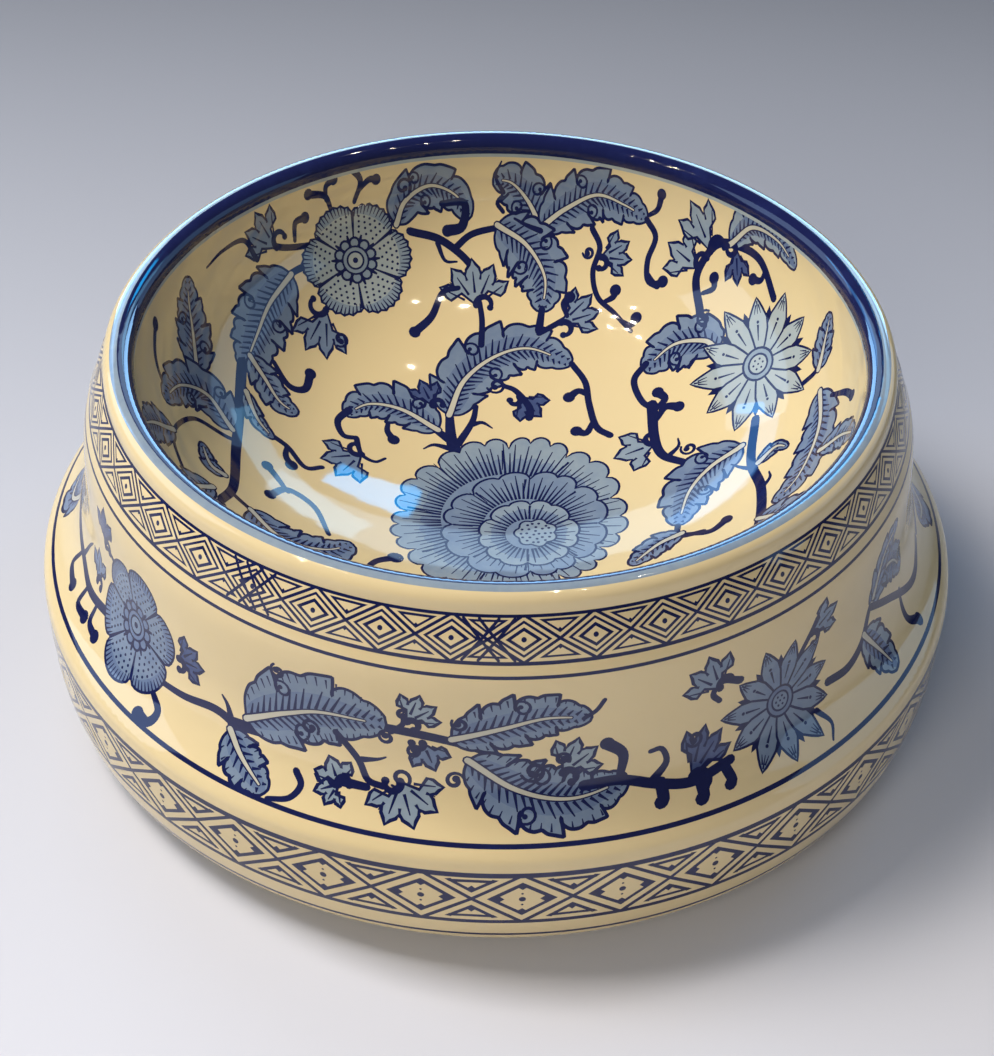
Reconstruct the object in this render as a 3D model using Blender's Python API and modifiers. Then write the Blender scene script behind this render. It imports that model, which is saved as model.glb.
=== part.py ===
"""Porcelain serving bowl: a double-walled, blue-and-white bowl on a foot ring.

Every piece is turned about the Z axis, because each was thrown or jiggered on a wheel. The floor is Z = 0.
The pieces are the clay sections that a potter makes one by one and lutes together before the glaze firing.
Lengths are millimetres and become metres when a profile is made into a mesh.
"""

import math

import bpy

MM = 0.001
SEGMENTS = 64
JOINT_GAP = 0.3

# How many straight steps stand for each curve of a section
BASIN_INSIDE_STEPS = 18
BASIN_OUTSIDE_STEPS = 14
LIP_STEPS = 10
WALL_STEPS = 2

# Overall form
LIP_RADIUS = 105.0
LIP_HEIGHT = 102.9
LIP_ROLL_WIDTH = 7.9
LIP_ROLL_RISE = 3.7
RIDGE_RADIUS = 127.7
WALL = 4.5

# Basin: the inside is a superellipse, a little fuller than an ellipse
BASIN_DEPTH = 60.9
BASIN_FULLNESS = 2.2
BASIN_WALL = 4.0
BASIN_FLOOR = 4.5
LIP_SKIRT = 1.7

# Outer wall, as radius and height: collar, waist, flared shoulder, ridge
SHOULDER_SEAM = 37.2
UPPER_WALL_CURVE = (
    (104.95, LIP_HEIGHT - LIP_SKIRT - JOINT_GAP),
    (107.6, 96.0),
    (109.7, 89.6),
    (111.1, 86.2),
    (112.1, 81.0),
    (112.8, 71.5),
    (113.9, 61.0),
    (116.6, 52.5),
    (120.8, 46.3),
    (124.8, 42.5),
    (127.1, 40.0),
    (RIDGE_RADIUS, SHOULDER_SEAM),
)
COLLAR_TOP_THICKNESS = 2.7
COLLAR_TAPER = 0.25

# Belly: from the ridge down to the turned-in heel
BELLY_CURVE = (
    (RIDGE_RADIUS, SHOULDER_SEAM - JOINT_GAP),
    (127.5, 27.3),
    (127.1, 18.6),
    (126.0, 12.2),
    (124.4, 8.2),
    (120.9, 4.9),
    (115.5, 3.9),
    (111.0, 3.9),
)

# Base disc and foot ring
DISC_RADIUS = 110.7
DISC_UNDERSIDE = 5.4
DISC_THICKNESS = 4.2
DISC_EDGE = 0.6
VENT_RADIUS = 2.5
FOOT_OUTER = 108.0
FOOT_INNER = 100.0
FOOT_EDGE = 1.2

PORCELAIN = (0.74, 0.68, 0.52, 1.0)
BARE_CLAY = (0.72, 0.66, 0.57, 1.0)


def clear_scene():
    """Remove what the scene starts with."""
    for item in list(bpy.data.objects):
        bpy.data.objects.remove(item, do_unlink=True)


def new_collection(name):
    """A collection in the scene for the bowl's pieces."""
    collection = bpy.data.collections.new(name)
    bpy.context.scene.collection.children.link(collection)
    return collection


def new_material(name, colour, roughness):
    """A Principled BSDF with the piece's colour and gloss."""
    material = bpy.data.materials.new(name)
    material.use_nodes = True
    shader = material.node_tree.nodes["Principled BSDF"]
    shader.inputs["Base Color"].default_value = colour
    shader.inputs["Roughness"].default_value = roughness
    shader.inputs["Metallic"].default_value = 0.0
    return material


def smooth_curve(points, steps):
    """A Catmull-Rom curve through the points, with the given steps between neighbours."""
    padded = (points[0],) + tuple(points) + (points[-1],)
    curve = []
    for a, b, c, d in zip(padded, padded[1:], padded[2:], padded[3:]):
        for step in range(steps):
            t = step / steps
            curve.append(
                tuple(
                    0.5
                    * (
                        2 * q
                        + (r - p) * t
                        + (2 * p - 5 * q + 4 * r - s) * t**2
                        + (3 * q - p - 3 * r + s) * t**3
                    )
                    for p, q, r, s in zip(a, b, c, d)
                )
            )
    curve.append(tuple(points[-1]))
    return curve


def inset_curve(curve, thickness_at):
    """The curve moved to its inner side, by thickness_at(share of the way along) at each point."""
    moved = []
    last = len(curve) - 1
    for index, (radius, height) in enumerate(curve):
        before = curve[max(index - 1, 0)]
        after = curve[min(index + 1, last)]
        along_r, along_z = after[0] - before[0], after[1] - before[1]
        length = math.hypot(along_r, along_z)
        depth = thickness_at(index / last)
        moved.append(
            (radius + depth * along_z / length, height - depth * along_r / length)
        )
    return moved


def turned(name, profile, closed, material, collection):
    """A solid of revolution: the profile, at +X, swept round Z by a Screw modifier."""
    points = [(radius * MM, 0.0, height * MM) for radius, height in profile]
    edges = [(index, index + 1) for index in range(len(points) - 1)]
    if closed:
        edges.append((len(points) - 1, 0))
    mesh = bpy.data.meshes.new(name)
    mesh.from_pydata(points, edges, [])
    piece = bpy.data.objects.new(name, mesh)
    collection.objects.link(piece)
    screw = piece.modifiers.new("Turn", "SCREW")
    screw.axis = "Z"
    screw.angle = 2 * math.pi
    screw.steps = SEGMENTS
    screw.render_steps = SEGMENTS
    screw.use_merge_vertices = True
    screw.merge_threshold = 0.00001
    screw.use_smooth_shade = True
    mesh.materials.append(material)
    return piece


def superellipse(radius, depth, top, steps):
    """Points of a quarter superellipse, from the axis up to just below the wall's top edge."""
    power = 2 / BASIN_FULLNESS
    quarter = math.pi / 2
    return [
        (
            radius * math.sin(quarter * step / steps) ** power,
            top - depth * math.cos(quarter * step / steps) ** power,
        )
        for step in range(steps)
    ]


def lip_roll(steps):
    """The rolled lip: half an ellipse, from the basin over the crest to the outside."""
    half_width = LIP_ROLL_WIDTH / 2
    centre = LIP_RADIUS - half_width
    return [
        (
            centre - half_width * math.cos(math.pi * step / steps),
            LIP_HEIGHT + LIP_ROLL_RISE * math.sin(math.pi * step / steps),
        )
        for step in range(steps + 1)
    ]


def basin_profile():
    """Inner floor, up the basin, over the lip and back down the basin's hidden outside."""
    inner_radius = LIP_RADIUS - LIP_ROLL_WIDTH
    underside = LIP_HEIGHT - LIP_SKIRT
    inside = superellipse(inner_radius, BASIN_DEPTH, LIP_HEIGHT, BASIN_INSIDE_STEPS)
    outside = superellipse(
        inner_radius + BASIN_WALL,
        BASIN_DEPTH + BASIN_FLOOR - LIP_SKIRT,
        underside,
        BASIN_OUTSIDE_STEPS,
    )
    skirt = [(UPPER_WALL_CURVE[0][0], underside)]
    return inside + lip_roll(LIP_STEPS) + skirt + [(inner_radius + BASIN_WALL, underside)] + outside[::-1]


def make_basin(material, collection):
    """The bowl itself, with its rolled lip, one thrown piece."""
    return turned("basin", basin_profile(), False, material, collection)


def make_upper_wall(material, collection):
    """Collar, waist and flared shoulder: the outer casing down to the ridge."""
    outside = smooth_curve(UPPER_WALL_CURVE, WALL_STEPS)
    extra = WALL - COLLAR_TOP_THICKNESS
    inside = inset_curve(outside, lambda share: COLLAR_TOP_THICKNESS + extra * min(1, share / COLLAR_TAPER))
    inside[0] = (outside[0][0] - COLLAR_TOP_THICKNESS, outside[0][1])
    inside[-1] = (outside[-1][0] - WALL, outside[-1][1])
    return turned("upper_wall", outside + inside[::-1], True, material, collection)


def make_belly_wall(material, collection):
    """The belly band and the heel that turns in under the bowl."""
    outside = smooth_curve(BELLY_CURVE, WALL_STEPS)
    inside = inset_curve(outside, lambda share: WALL)
    inside[0] = (outside[0][0] - WALL, outside[0][1])
    inside[-1] = (outside[-1][0], outside[-1][1] + WALL)
    return turned("belly_wall", outside + inside[::-1], True, material, collection)


def make_base_disc(material, collection):
    """The disc that closes the hollow, with the vent hole that lets air out in the kiln."""
    top = DISC_UNDERSIDE + DISC_THICKNESS
    profile = [
        (DISC_RADIUS - DISC_EDGE, top),
        (DISC_RADIUS, top - DISC_EDGE),
        (DISC_RADIUS, DISC_UNDERSIDE + DISC_EDGE),
        (DISC_RADIUS - DISC_EDGE, DISC_UNDERSIDE),
        (VENT_RADIUS + DISC_EDGE, DISC_UNDERSIDE),
        (VENT_RADIUS, DISC_UNDERSIDE + DISC_EDGE),
        (VENT_RADIUS, top - DISC_EDGE),
        (VENT_RADIUS + DISC_EDGE, top),
    ]
    return turned("base_disc", profile, True, material, collection)


def make_foot_ring(material, collection):
    """The foot ring that the bowl stands on, wiped clean of glaze."""
    top = DISC_UNDERSIDE - JOINT_GAP
    profile = [
        (FOOT_OUTER, top),
        (FOOT_OUTER, FOOT_EDGE),
        (FOOT_OUTER - FOOT_EDGE, 0.0),
        (FOOT_INNER + FOOT_EDGE, 0.0),
        (FOOT_INNER, FOOT_EDGE),
        (FOOT_INNER - FOOT_EDGE, top),
    ]
    return turned("foot_ring", profile, True, material, collection)


def main():
    """Make the five clay sections in one collection."""
    clear_scene()
    collection = new_collection("serving_bowl")
    glazed = new_material("glazed_porcelain", PORCELAIN, 0.08)
    bare = new_material("bare_porcelain", BARE_CLAY, 0.65)
    make_basin(glazed, collection)
    make_upper_wall(glazed, collection)
    make_belly_wall(glazed, collection)
    make_base_disc(glazed, collection)
    make_foot_ring(bare, collection)


main()
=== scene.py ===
"""Porcelain serving bowl, glazed ivory and painted underglaze in cobalt blue.

The bowl's clay sections are turned shells. The painting is part of each shell's own skin: every brush stroke
is worked out on the unrolled surface in millimetres, the strokes and the skin are triangulated together, and
each face carries how much cobalt lies on it. The glaze reads that amount."""

from __future__ import annotations

import logging
import math
import random
from collections.abc import Callable, Sequence
from dataclasses import dataclass, field
from enum import Enum
from typing import ClassVar

import bpy
import numpy as np
from mathutils import Matrix, Vector
from mathutils.geometry import delaunay_2d_cdt

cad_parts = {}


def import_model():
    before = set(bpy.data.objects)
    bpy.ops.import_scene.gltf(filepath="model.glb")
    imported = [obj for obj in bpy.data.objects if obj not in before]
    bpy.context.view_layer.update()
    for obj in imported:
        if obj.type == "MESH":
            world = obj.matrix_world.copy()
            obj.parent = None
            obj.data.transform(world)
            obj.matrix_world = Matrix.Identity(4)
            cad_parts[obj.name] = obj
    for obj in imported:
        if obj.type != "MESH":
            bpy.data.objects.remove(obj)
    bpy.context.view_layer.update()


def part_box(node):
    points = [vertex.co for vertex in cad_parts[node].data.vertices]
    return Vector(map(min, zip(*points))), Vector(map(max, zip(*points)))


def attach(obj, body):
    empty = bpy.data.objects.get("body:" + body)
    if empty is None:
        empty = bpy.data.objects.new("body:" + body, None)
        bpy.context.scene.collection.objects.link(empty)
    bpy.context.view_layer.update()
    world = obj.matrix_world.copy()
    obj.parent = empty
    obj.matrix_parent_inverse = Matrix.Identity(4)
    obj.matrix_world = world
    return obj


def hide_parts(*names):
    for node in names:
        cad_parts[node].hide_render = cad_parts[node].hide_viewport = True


log = logging.getLogger("serving_bowl")

MM = 0.001
AROUND = 256
FULL_TURN = 2 * math.pi
WELD = 2e-6
TOUCHING = 1e-4
SLIVER = 1e-9
SMOOTH_BELOW = math.radians(35)
BAKE_MAP = "OFBake"
INSIDE_STEPS = 400
COBALT = "cobalt"

Point = tuple[float, float]
Point3 = tuple[float, float, float]
Points = Sequence[Point]
Width = Callable[[np.ndarray], np.ndarray]
Socket = bpy.types.NodeSocket

# One lobe of a leaf's edge: shares of the lobe's length and of the blade's width.
LOBE_RIM = (
    ((0.0, 0.58), (-0.02, 0.74), (0.08, 0.90), (0.20, 0.97), (0.34, 0.98), (0.46, 0.93), (0.52, 0.92))
    + ((0.62, 1.01), (0.78, 1.06), (0.93, 1.12), (0.95, 1.08), (0.97, 0.90), (0.985, 0.74))
)


class Tone(Enum):
    """How much cobalt a stroke lays down, from a breath of it to a full line."""

    HINT = 0.10
    PALE = 0.18
    SOFT = 0.28
    WASH = 0.37
    MID = 0.44
    DEEP = 0.62
    LINE = 1.0


# ---------------------------------------------------------------- lines on the unrolled surface


def as_array(points: Points) -> np.ndarray:
    """The points as an array with a row for each."""
    return np.asarray(points, dtype=float)


def smooth_line(points: Points, spacing: float = 0.9) -> np.ndarray:
    """A Catmull-Rom curve through the points.

    Args:
        points: the points that the brush passes through.
        spacing: about how far apart the curve's own points are, in millimetres.

    Returns:
        The curve's points.
    """
    given = as_array(points)
    if len(given) < 3:
        count = max(2, int(np.linalg.norm(given[-1] - given[0]) / spacing) + 1)
        return np.linspace(given[0], given[-1], count)
    padded = np.vstack((2 * given[0] - given[1], given, 2 * given[-1] - given[-2]))
    curve = []
    for a, b, c, d in zip(padded, padded[1:], padded[2:], padded[3:]):
        steps = max(2, int(np.linalg.norm(c - b) / spacing) + 1)
        for t in np.arange(steps) / steps:
            square, cube = (2 * a - 5 * b + 4 * c - d) * t**2, (3 * b - a - 3 * c + d) * t**3
            curve.append(0.5 * (2 * b + (c - a) * t + square + cube))
    curve.append(given[-1])
    return np.array(curve)


def shares(line: np.ndarray) -> np.ndarray:
    """How far along the line each of its points is, from 0 to 1."""
    along = np.r_[0.0, np.cumsum(np.linalg.norm(np.diff(line, axis=0), axis=1))]
    return along / along[-1]


def left_normals(line: np.ndarray) -> np.ndarray:
    """The unit vectors to the left of the line at its points.

    Args:
        line: the line's points.

    Returns:
        A vector for each point.
    """
    along = np.gradient(line, axis=0)
    along /= np.maximum(np.linalg.norm(along, axis=1), 1e-9)[:, None]
    return np.stack((-along[:, 1], along[:, 0]), axis=1)


def ribbon(line: np.ndarray, width: Width) -> np.ndarray:
    """The outline of a brush stroke along a line, with round ends.

    Args:
        line: the stroke's middle.
        width: gives the stroke's full width for shares of the way along.

    Returns:
        The outline's points.
    """
    half = 0.5 * width(shares(line))[:, None]
    normal = left_normals(line)
    along = np.stack((normal[:, 1], -normal[:, 0]), axis=1)
    round_tip = [(math.cos(angle), math.sin(angle)) for angle in (0.8, 1.57, 2.34)]
    end = [line[-1] + half[-1] * (normal[-1] * cos + along[-1] * sin) for cos, sin in round_tip]
    start = [line[0] - half[0] * (normal[0] * cos + along[0] * sin) for cos, sin in round_tip]
    return np.vstack((line + half * normal, end, (line - half * normal)[::-1], start))


def taper(start: float, end: float) -> Width:
    """A stroke width that changes evenly from start to end."""
    return lambda share: start + (end - start) * share


def swell(middle: float, ends: float) -> Width:
    """A stroke width that is greatest halfway."""
    return lambda share: ends + (middle - ends) * np.sin(math.pi * share)


def even(width: float) -> Width:
    """A stroke of one width."""
    return lambda share: np.full(share.shape, width)


def ring(centre: Point, radius: float, sides: int = 16) -> np.ndarray:
    """A circle's points, anticlockwise."""
    turn = np.arange(sides) * FULL_TURN / sides
    return as_array([centre]) + radius * np.stack((np.cos(turn), np.sin(turn)), axis=1)


def polar(centre: Point, angles: np.ndarray, radii: np.ndarray) -> np.ndarray:
    """Points round a centre, at angles in radians."""
    return as_array([centre]) + np.stack((radii * np.cos(angles), radii * np.sin(angles)), axis=1)


def toward(centre: Point, angle: float, reach: float) -> np.ndarray:
    """The point that lies at one angle from a centre."""
    return polar(centre, np.array([angle]), np.array([reach]))[0]


@dataclass
class Shape:
    """A painted area: one or more loops, filled by the non-zero rule."""

    loops: list[np.ndarray]
    tone: float


@dataclass
class Painting:
    """The strokes of one painted surface, later ones over earlier ones."""

    shapes: list[Shape] = field(default_factory=list)
    scale: np.ndarray = field(default_factory=lambda: np.array((1.0, 1.0)))
    pivot: np.ndarray = field(default_factory=lambda: np.zeros(2))
    turn: float = 0.0

    def lay(self, loop: np.ndarray, tone: Tone) -> None:
        """Fill one loop with so much cobalt."""
        self.shapes.append(Shape([self.warp(loop)], tone.value))

    def lay_between(self, outer: np.ndarray, inner: np.ndarray, tone: Tone) -> None:
        """Fill the space between two anticlockwise loops."""
        self.shapes.append(Shape([self.warp(outer), self.warp(inner[::-1])], tone.value))

    def warp(self, loop: np.ndarray) -> np.ndarray:
        """Stretch a loop about the pivot, along and across the direction of turn.

        Args:
            loop: the points.

        Returns:
            The moved points.
        """
        cos, sin = math.cos(self.turn), math.sin(self.turn)
        spin = np.array(((cos, sin), (-sin, cos)))
        return ((loop - self.pivot) @ spin.T * self.scale) @ spin + self.pivot

    def stroke(self, points: Points, width: Width) -> None:
        """Brush a smooth line through the points."""
        self.line(smooth_line(points), width)

    def tick(self, start: np.ndarray, end: np.ndarray, width: float) -> None:
        """A short, straight, tapering touch of the brush.

        Args:
            start: where the brush lands.
            end: where it lifts.
            width: the width where it lands.
        """
        along = end - start
        across = np.array((-along[1], along[0])) / max(np.linalg.norm(along), 1e-9)
        tip = 0.18 * width
        butt = 0.5 * width
        corners = (start - butt * across, end - tip * across, end + tip * across, start + butt * across)
        self.lay(np.array(corners), Tone.LINE)

    def spoke(self, centre: Point, angle: float, reach: Point, width: float, lean: float = 0.0) -> None:
        """A touch of the brush along a ray from a centre.

        Args:
            centre: the middle that it points at or away from.
            angle: the ray's direction, in radians.
            reach: how far out it starts and ends.
            width: the width where it lands.
            lean: how much further round its end is.
        """
        start, end = polar(centre, np.array((angle, angle + lean)), np.array(reach))
        self.tick(start, end, width)

    def outline(self, loop: np.ndarray, width: float) -> None:
        """Brush round a closed loop, centred on it.

        Args:
            loop: its points, in order.
            width: the line's width.
        """
        ahead, behind = np.roll(loop, -1, axis=0), np.roll(loop, 1, axis=0)
        along = ahead - behind
        along /= np.maximum(np.linalg.norm(along, axis=1), 1e-9)[:, None]
        across = 0.5 * width * np.stack((-along[:, 1], along[:, 0]), axis=1)
        closed = np.r_[np.arange(len(loop)), 0]
        for a, b in zip(closed, closed[1:]):
            corners = (loop[a] - across[a], loop[b] - across[b], loop[b] + across[b], loop[a] + across[a])
            self.lay(np.array(corners), Tone.LINE)

    def line(self, points: np.ndarray, width: Width, tone: Tone = Tone.LINE) -> None:
        """Brush along points that already lie close enough for a smooth line."""
        self.lay(ribbon(points, width), tone)

    def rings(self, centre: Point, radius: float, shares_and_tones: Sequence[tuple[float, Tone]]) -> None:
        """Discs on one another, the largest first, each at its share of the radius and its tone."""
        for share, tone in shares_and_tones:
            self.dot(centre, share * radius, tone, sides=24)

    def dot(self, centre: Point | np.ndarray, radius: float, tone: Tone = Tone.LINE, sides: int = 10) -> None:
        """A round touch of the brush, with so many points round its edge."""
        self.lay(ring(tuple(centre), radius, sides), tone)


# ---------------------------------------------------------------- motifs


@dataclass(frozen=True)
class Stem:
    """A vine stem: a dark stroke that thins towards its end."""

    path: Points
    start: float = 2.0
    end: float = 1.3

    def paint(self, art: Painting) -> None:
        """Brush the stem."""
        art.stroke(self.path, taper(self.start * 1.6, self.end * (1.6 if self.end > 0.7 else 1.3)))


@dataclass(frozen=True)
class Sprout:
    """A side shoot that ends in a round, hooked bud."""

    path: Points
    width: float = 1.5
    bud: float = 1.9

    def paint(self, art: Painting) -> None:
        """Brush the shoot and press the bud.

        Args:
            art: the painting.
        """
        width = max(1.6, 1.6 * self.width)
        art.stroke(self.path, taper(width * 0.9, width * 1.6))
        art.dot(self.path[-1], max(1.9, 1.2 * self.bud), sides=14)


@dataclass(frozen=True)
class Volute:
    """A spiral curl, as at a leaf's shoulder."""

    centre: Point
    radius: float
    start: float
    turns: float = 1.1

    def paint(self, art: Painting) -> None:
        """Brush the spiral inwards and press a dot at its eye.

        Args:
            art: the painting.
        """
        share = np.linspace(0.0, 1.0, 18)
        angle = math.radians(self.start) + share * self.turns * FULL_TURN
        line = polar(self.centre, angle, self.radius * (1.0 - 0.72 * share))
        art.line(line, taper(0.75, 1.3))
        art.dot(line[-1], 1.0)


@dataclass(frozen=True)
class Leaf:
    """A lobed leaf along a spine, with a pale midrib and hatched blades.

    left and right are the blade's greatest widths on either side of the spine.
    """

    spine: Points
    left: float
    right: float
    lobes: int = 4
    tone: Tone = Tone.WASH
    rib: Tone = Tone.HINT
    edged: bool = False

    def blade(self, share: float) -> float:
        """How full the blade is at a share of the spine's length, from 0 to 1."""
        return math.sin(math.pi * min(max(share, 0.0), 1.0) ** 0.72) ** 0.55 if 0.0 < share < 1.0 else 0.0

    def spot(
        self, line: np.ndarray, side: np.ndarray, share: float
    ) -> tuple[np.ndarray, np.ndarray, np.ndarray]:
        """A place on the spine with the directions there.

        Args:
            line: the spine's points.
            side: the unit vectors to one side of it.
            share: how far along.

        Returns:
            The place, the direction to that side, and the direction onwards.
        """
        along = shares(line)
        place, out, ahead = (
            np.array([np.interp(share, along, rows[:, i]) for i in (0, 1)])
            for rows in (line, side, np.gradient(line, axis=0))
        )
        return place, out, ahead / np.linalg.norm(ahead)

    def edge(self, line: np.ndarray, side: np.ndarray, width: float) -> np.ndarray:
        """One side of the leaf, from the base to the tip: full, scalloped lobes with deep clefts between.

        Args:
            line: the spine's points.
            side: the unit vectors to that side.
            width: the blade's greatest width on that side.

        Returns:
            The edge's points.
        """
        rows = [line[0]]
        for lobe in range(self.lobes):
            fall = 0.30 * (1.0 - lobe / self.lobes)
            for within, reach in LOBE_RIM:
                share = (lobe + within) / self.lobes
                deep = reach if reach > 0.8 else reach - fall * (0.8 - reach)
                place, out, ahead = self.spot(line, side, min(max(share, 0.0), 0.995))
                rows.append(place + width * self.blade(share) * (deep * out + 0.30 * (deep - 0.5) * ahead))
        rows.append(line[-1])
        return smooth_line(np.array(rows), 0.7)

    def paint(self, art: Painting) -> None:
        """Wash the blade, hatch it, outline it, curl its clefts and leave the midrib pale.

        Args:
            art: the painting.
        """
        line = smooth_line(self.spine)
        normal = left_normals(line)
        left, right = self.edge(line, normal, self.left), self.edge(line, -normal, self.right)
        art.lay(np.vstack((left, right[::-1][1:-1])), self.tone)
        self.shade(art, line, normal)
        self.hatch(art, line, normal)
        for edge in (left, right):
            art.line(edge, swell(1.0, 0.75))
        self.curl(art, line, normal, self.left, self.lobes // 2, 1)
        self.curl(art, line, -normal, self.right, (self.lobes + 1) // 2 - 1, -1)
        reach = max(3, int(0.88 * len(line)))
        art.line(line[:reach], taper(2.7, 1.1))
        art.line(line[:reach], taper(1.7, 0.45), self.rib)

    def shade(self, art: Painting, line: np.ndarray, normal: np.ndarray) -> None:
        """A second, deeper wash along the midrib.

        Args:
            art: the painting.
            line: the spine's points.
            normal: the unit vectors to its left.
        """
        full = 0.5 * np.array([self.blade(share) for share in shares(line)])[:, None]
        left, right = line + self.left * full * normal, line - self.right * full * normal
        art.lay(np.vstack((left, right[::-1])), Tone.MID)

    def curl(
        self, art: Painting, line: np.ndarray, side: np.ndarray, width: float, cleft: int, hand: int
    ) -> None:
        """A cleft's edge rolled into a small volute.

        Args:
            art: the painting.
            line: the spine's points.
            side: the unit vectors to that side.
            width: the blade's width there.
            cleft: which cleft, counted in lobes from the base.
            hand: 1 on the left of the spine and -1 on the right.
        """
        share = cleft / self.lobes
        if cleft < 1 or width < 7.5:
            return
        place, out, ahead = self.spot(line, side, share)
        radius = min(2.6, 1.2 + 0.15 * width)
        centre = place + (width * self.blade(share) * 0.66 - 0.4 * radius) * out + 0.7 * radius * ahead
        aim = math.degrees(math.atan2(out[1], out[0]))
        share_round = np.linspace(0.0, 1.0, 16)
        angle = math.radians(aim) - hand * share_round * 0.95 * FULL_TURN
        spiral = polar(tuple(centre), angle, radius * (1.0 - 0.7 * share_round))
        art.line(spiral, taper(0.7, 0.9))
        art.dot(spiral[-1], 0.7)

    def hatch(self, art: Painting, line: np.ndarray, normal: np.ndarray) -> None:
        """Short strokes from the midrib outwards and from the edge inwards, on both blades.

        Args:
            art: the painting.
            line: the spine's points.
            normal: the unit vectors to the spine's left.
        """
        length = float(np.linalg.norm(np.diff(line, axis=0), axis=1).sum())
        count = max(4, int(length / 2.0))
        for index in range(1, count):
            share = index / count
            place, out, ahead = self.spot(line, normal, share)
            for side, width in ((1, self.left), (-1, self.right)):
                blade = width * self.blade(share)
                if blade < 1.6:
                    continue
                far = 0.56 if index % 2 else 0.44
                root = place + side * 0.8 * out
                art.tick(root, place + blade * far * (side * out + 0.55 * ahead), 0.95)
                if self.edged and blade > 3.0:
                    rim = place + blade * (0.95 * side * out + 0.25 * ahead)
                    art.tick(rim, place + blade * (0.70 * side * out + 0.22 * ahead), 0.6)


@dataclass(frozen=True)
class Fan:
    """A small leaf that opens like a fan into pointed teeth, with its outer corners rolled back."""

    base: Point
    tip: Point
    spread: float = 62.0
    lobes: int = 4
    tone: Tone = Tone.WASH
    tooth: ClassVar[Points] = (
        ((0.0, 0.76), (0.14, 0.90), (0.34, 0.98), (0.5, 1.10), (0.64, 0.97), (0.86, 0.88))
    )

    def paint(self, art: Painting) -> None:
        """Wash, ray hatching, outline and a dark throat.

        Args:
            art: the painting.
        """
        base, tip = np.array(self.base, dtype=float), np.array(self.tip, dtype=float)
        length = float(np.linalg.norm(tip - base))
        aim = math.atan2(tip[1] - base[1], tip[0] - base[0])
        spread = math.radians(self.spread)
        rays, radii = [], []
        for lobe in range(self.lobes):
            for within, reach in self.tooth:
                turn = (lobe + within) / self.lobes * 2 - 1
                rays.append(aim + spread * turn)
                radii.append(length * reach * (1.0 - 0.16 * abs(turn) ** 1.5))
        rays.append(aim + spread)
        radii.append(0.62 * length)
        rim = polar(tuple(base), np.array(rays), np.array(radii))
        last, first = (toward(tuple(base), aim + hand * spread * 0.62, 0.45 * length) for hand in (1, -1))
        loop = np.vstack((base, first, rim, last))
        art.lay(loop, self.tone)
        for index, ray in enumerate(np.linspace(aim - 0.8 * spread, aim + 0.8 * spread, 2 * self.lobes - 1)):
            away = np.array((math.cos(ray), math.sin(ray)))
            near, far = (0.62, 0.84) if index % 2 else (0.30, 0.80)
            art.tick(base + near * length * away, base + far * length * away, 0.85)
        art.outline(loop, 0.95)
        hook = max(1.6, 0.20 * length)
        side = aim - 0.5 * math.pi
        round_about = np.linspace(side + math.pi, side - 0.2 * math.pi, 14)
        centre = base + hook * np.array((math.cos(side), math.sin(side)))
        curl = polar(tuple(centre), round_about, hook * np.linspace(1.0, 0.8, 14))
        art.line(curl, taper(2.3, 1.4))
        art.dot(curl[-1], 1.1)


@dataclass(frozen=True)
class SixPetalBlossom:
    """A round blossom of six fringed, dotted petals about a ringed eye."""

    centre: Point
    radius: float
    turn: float = 0.0
    petals: int = 6

    def rim(self, angles: np.ndarray) -> np.ndarray:
        """The blossom's outer radius in each direction.

        Args:
            angles: the directions, in radians.

        Returns:
            A radius for each.
        """
        lobe = np.abs(np.cos(0.5 * self.petals * (angles - self.turn)))
        fringe = 0.022 * np.sin(self.petals * 7 * (angles - self.turn))
        return self.radius * (0.80 + 0.20 * lobe**0.5 + fringe)

    def paint(self, art: Painting) -> None:
        """Petals, fringe, dots and the ringed eye.

        Args:
            art: the painting.
        """
        angles = np.linspace(0, FULL_TURN, 168, endpoint=False)
        edge = polar(self.centre, angles, self.rim(angles))
        art.lay(edge, Tone.SOFT)
        art.dot(self.centre, 0.80 * self.radius, Tone.PALE, sides=40)
        for angle in np.linspace(0, FULL_TURN, self.petals * 14, endpoint=False):
            outer = float(self.rim(np.array([angle]))[0])
            art.spoke(self.centre, angle, (outer, 0.84 * outer), 0.62)
        for row, share in enumerate((0.76, 0.67, 0.58, 0.49)):
            for petal in range(self.petals):
                middle = self.turn + petal * FULL_TURN / self.petals
                for place in np.linspace(-1, 1, 6 - row):
                    angle = middle + place * (0.36 - 0.02 * row)
                    art.dot(toward(self.centre, angle, share * self.radius), 0.42, sides=7)
        for petal in range(self.petals):
            valley = self.turn + (petal + 0.5) * FULL_TURN / self.petals
            art.spoke(self.centre, valley, (0.84 * self.radius, 0.36 * self.radius), 1.2)
        art.outline(edge[::2], 0.75)
        self.eye(art)

    def eye(self, art: Painting) -> None:
        """The ringed eye with its circlet of loops.

        Args:
            art: the painting.
        """
        for loop in range(10):
            angle = (loop + 0.5) * FULL_TURN / 10
            art.spoke(self.centre, angle, (0.27 * self.radius, 0.45 * self.radius), 1.6)
        for loop in range(10):
            spot = toward(self.centre, loop * FULL_TURN / 10, 0.30 * self.radius)
            art.dot(spot, 0.112 * self.radius, Tone.LINE, sides=12)
            art.dot(spot, 0.070 * self.radius, Tone.SOFT)
        rings = ((0.255, Tone.LINE), (0.22, Tone.SOFT), (0.165, Tone.LINE), (0.13, Tone.PALE))
        art.rings(self.centre, self.radius, rings)
        art.dot(self.centre, 0.05 * self.radius)


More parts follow.
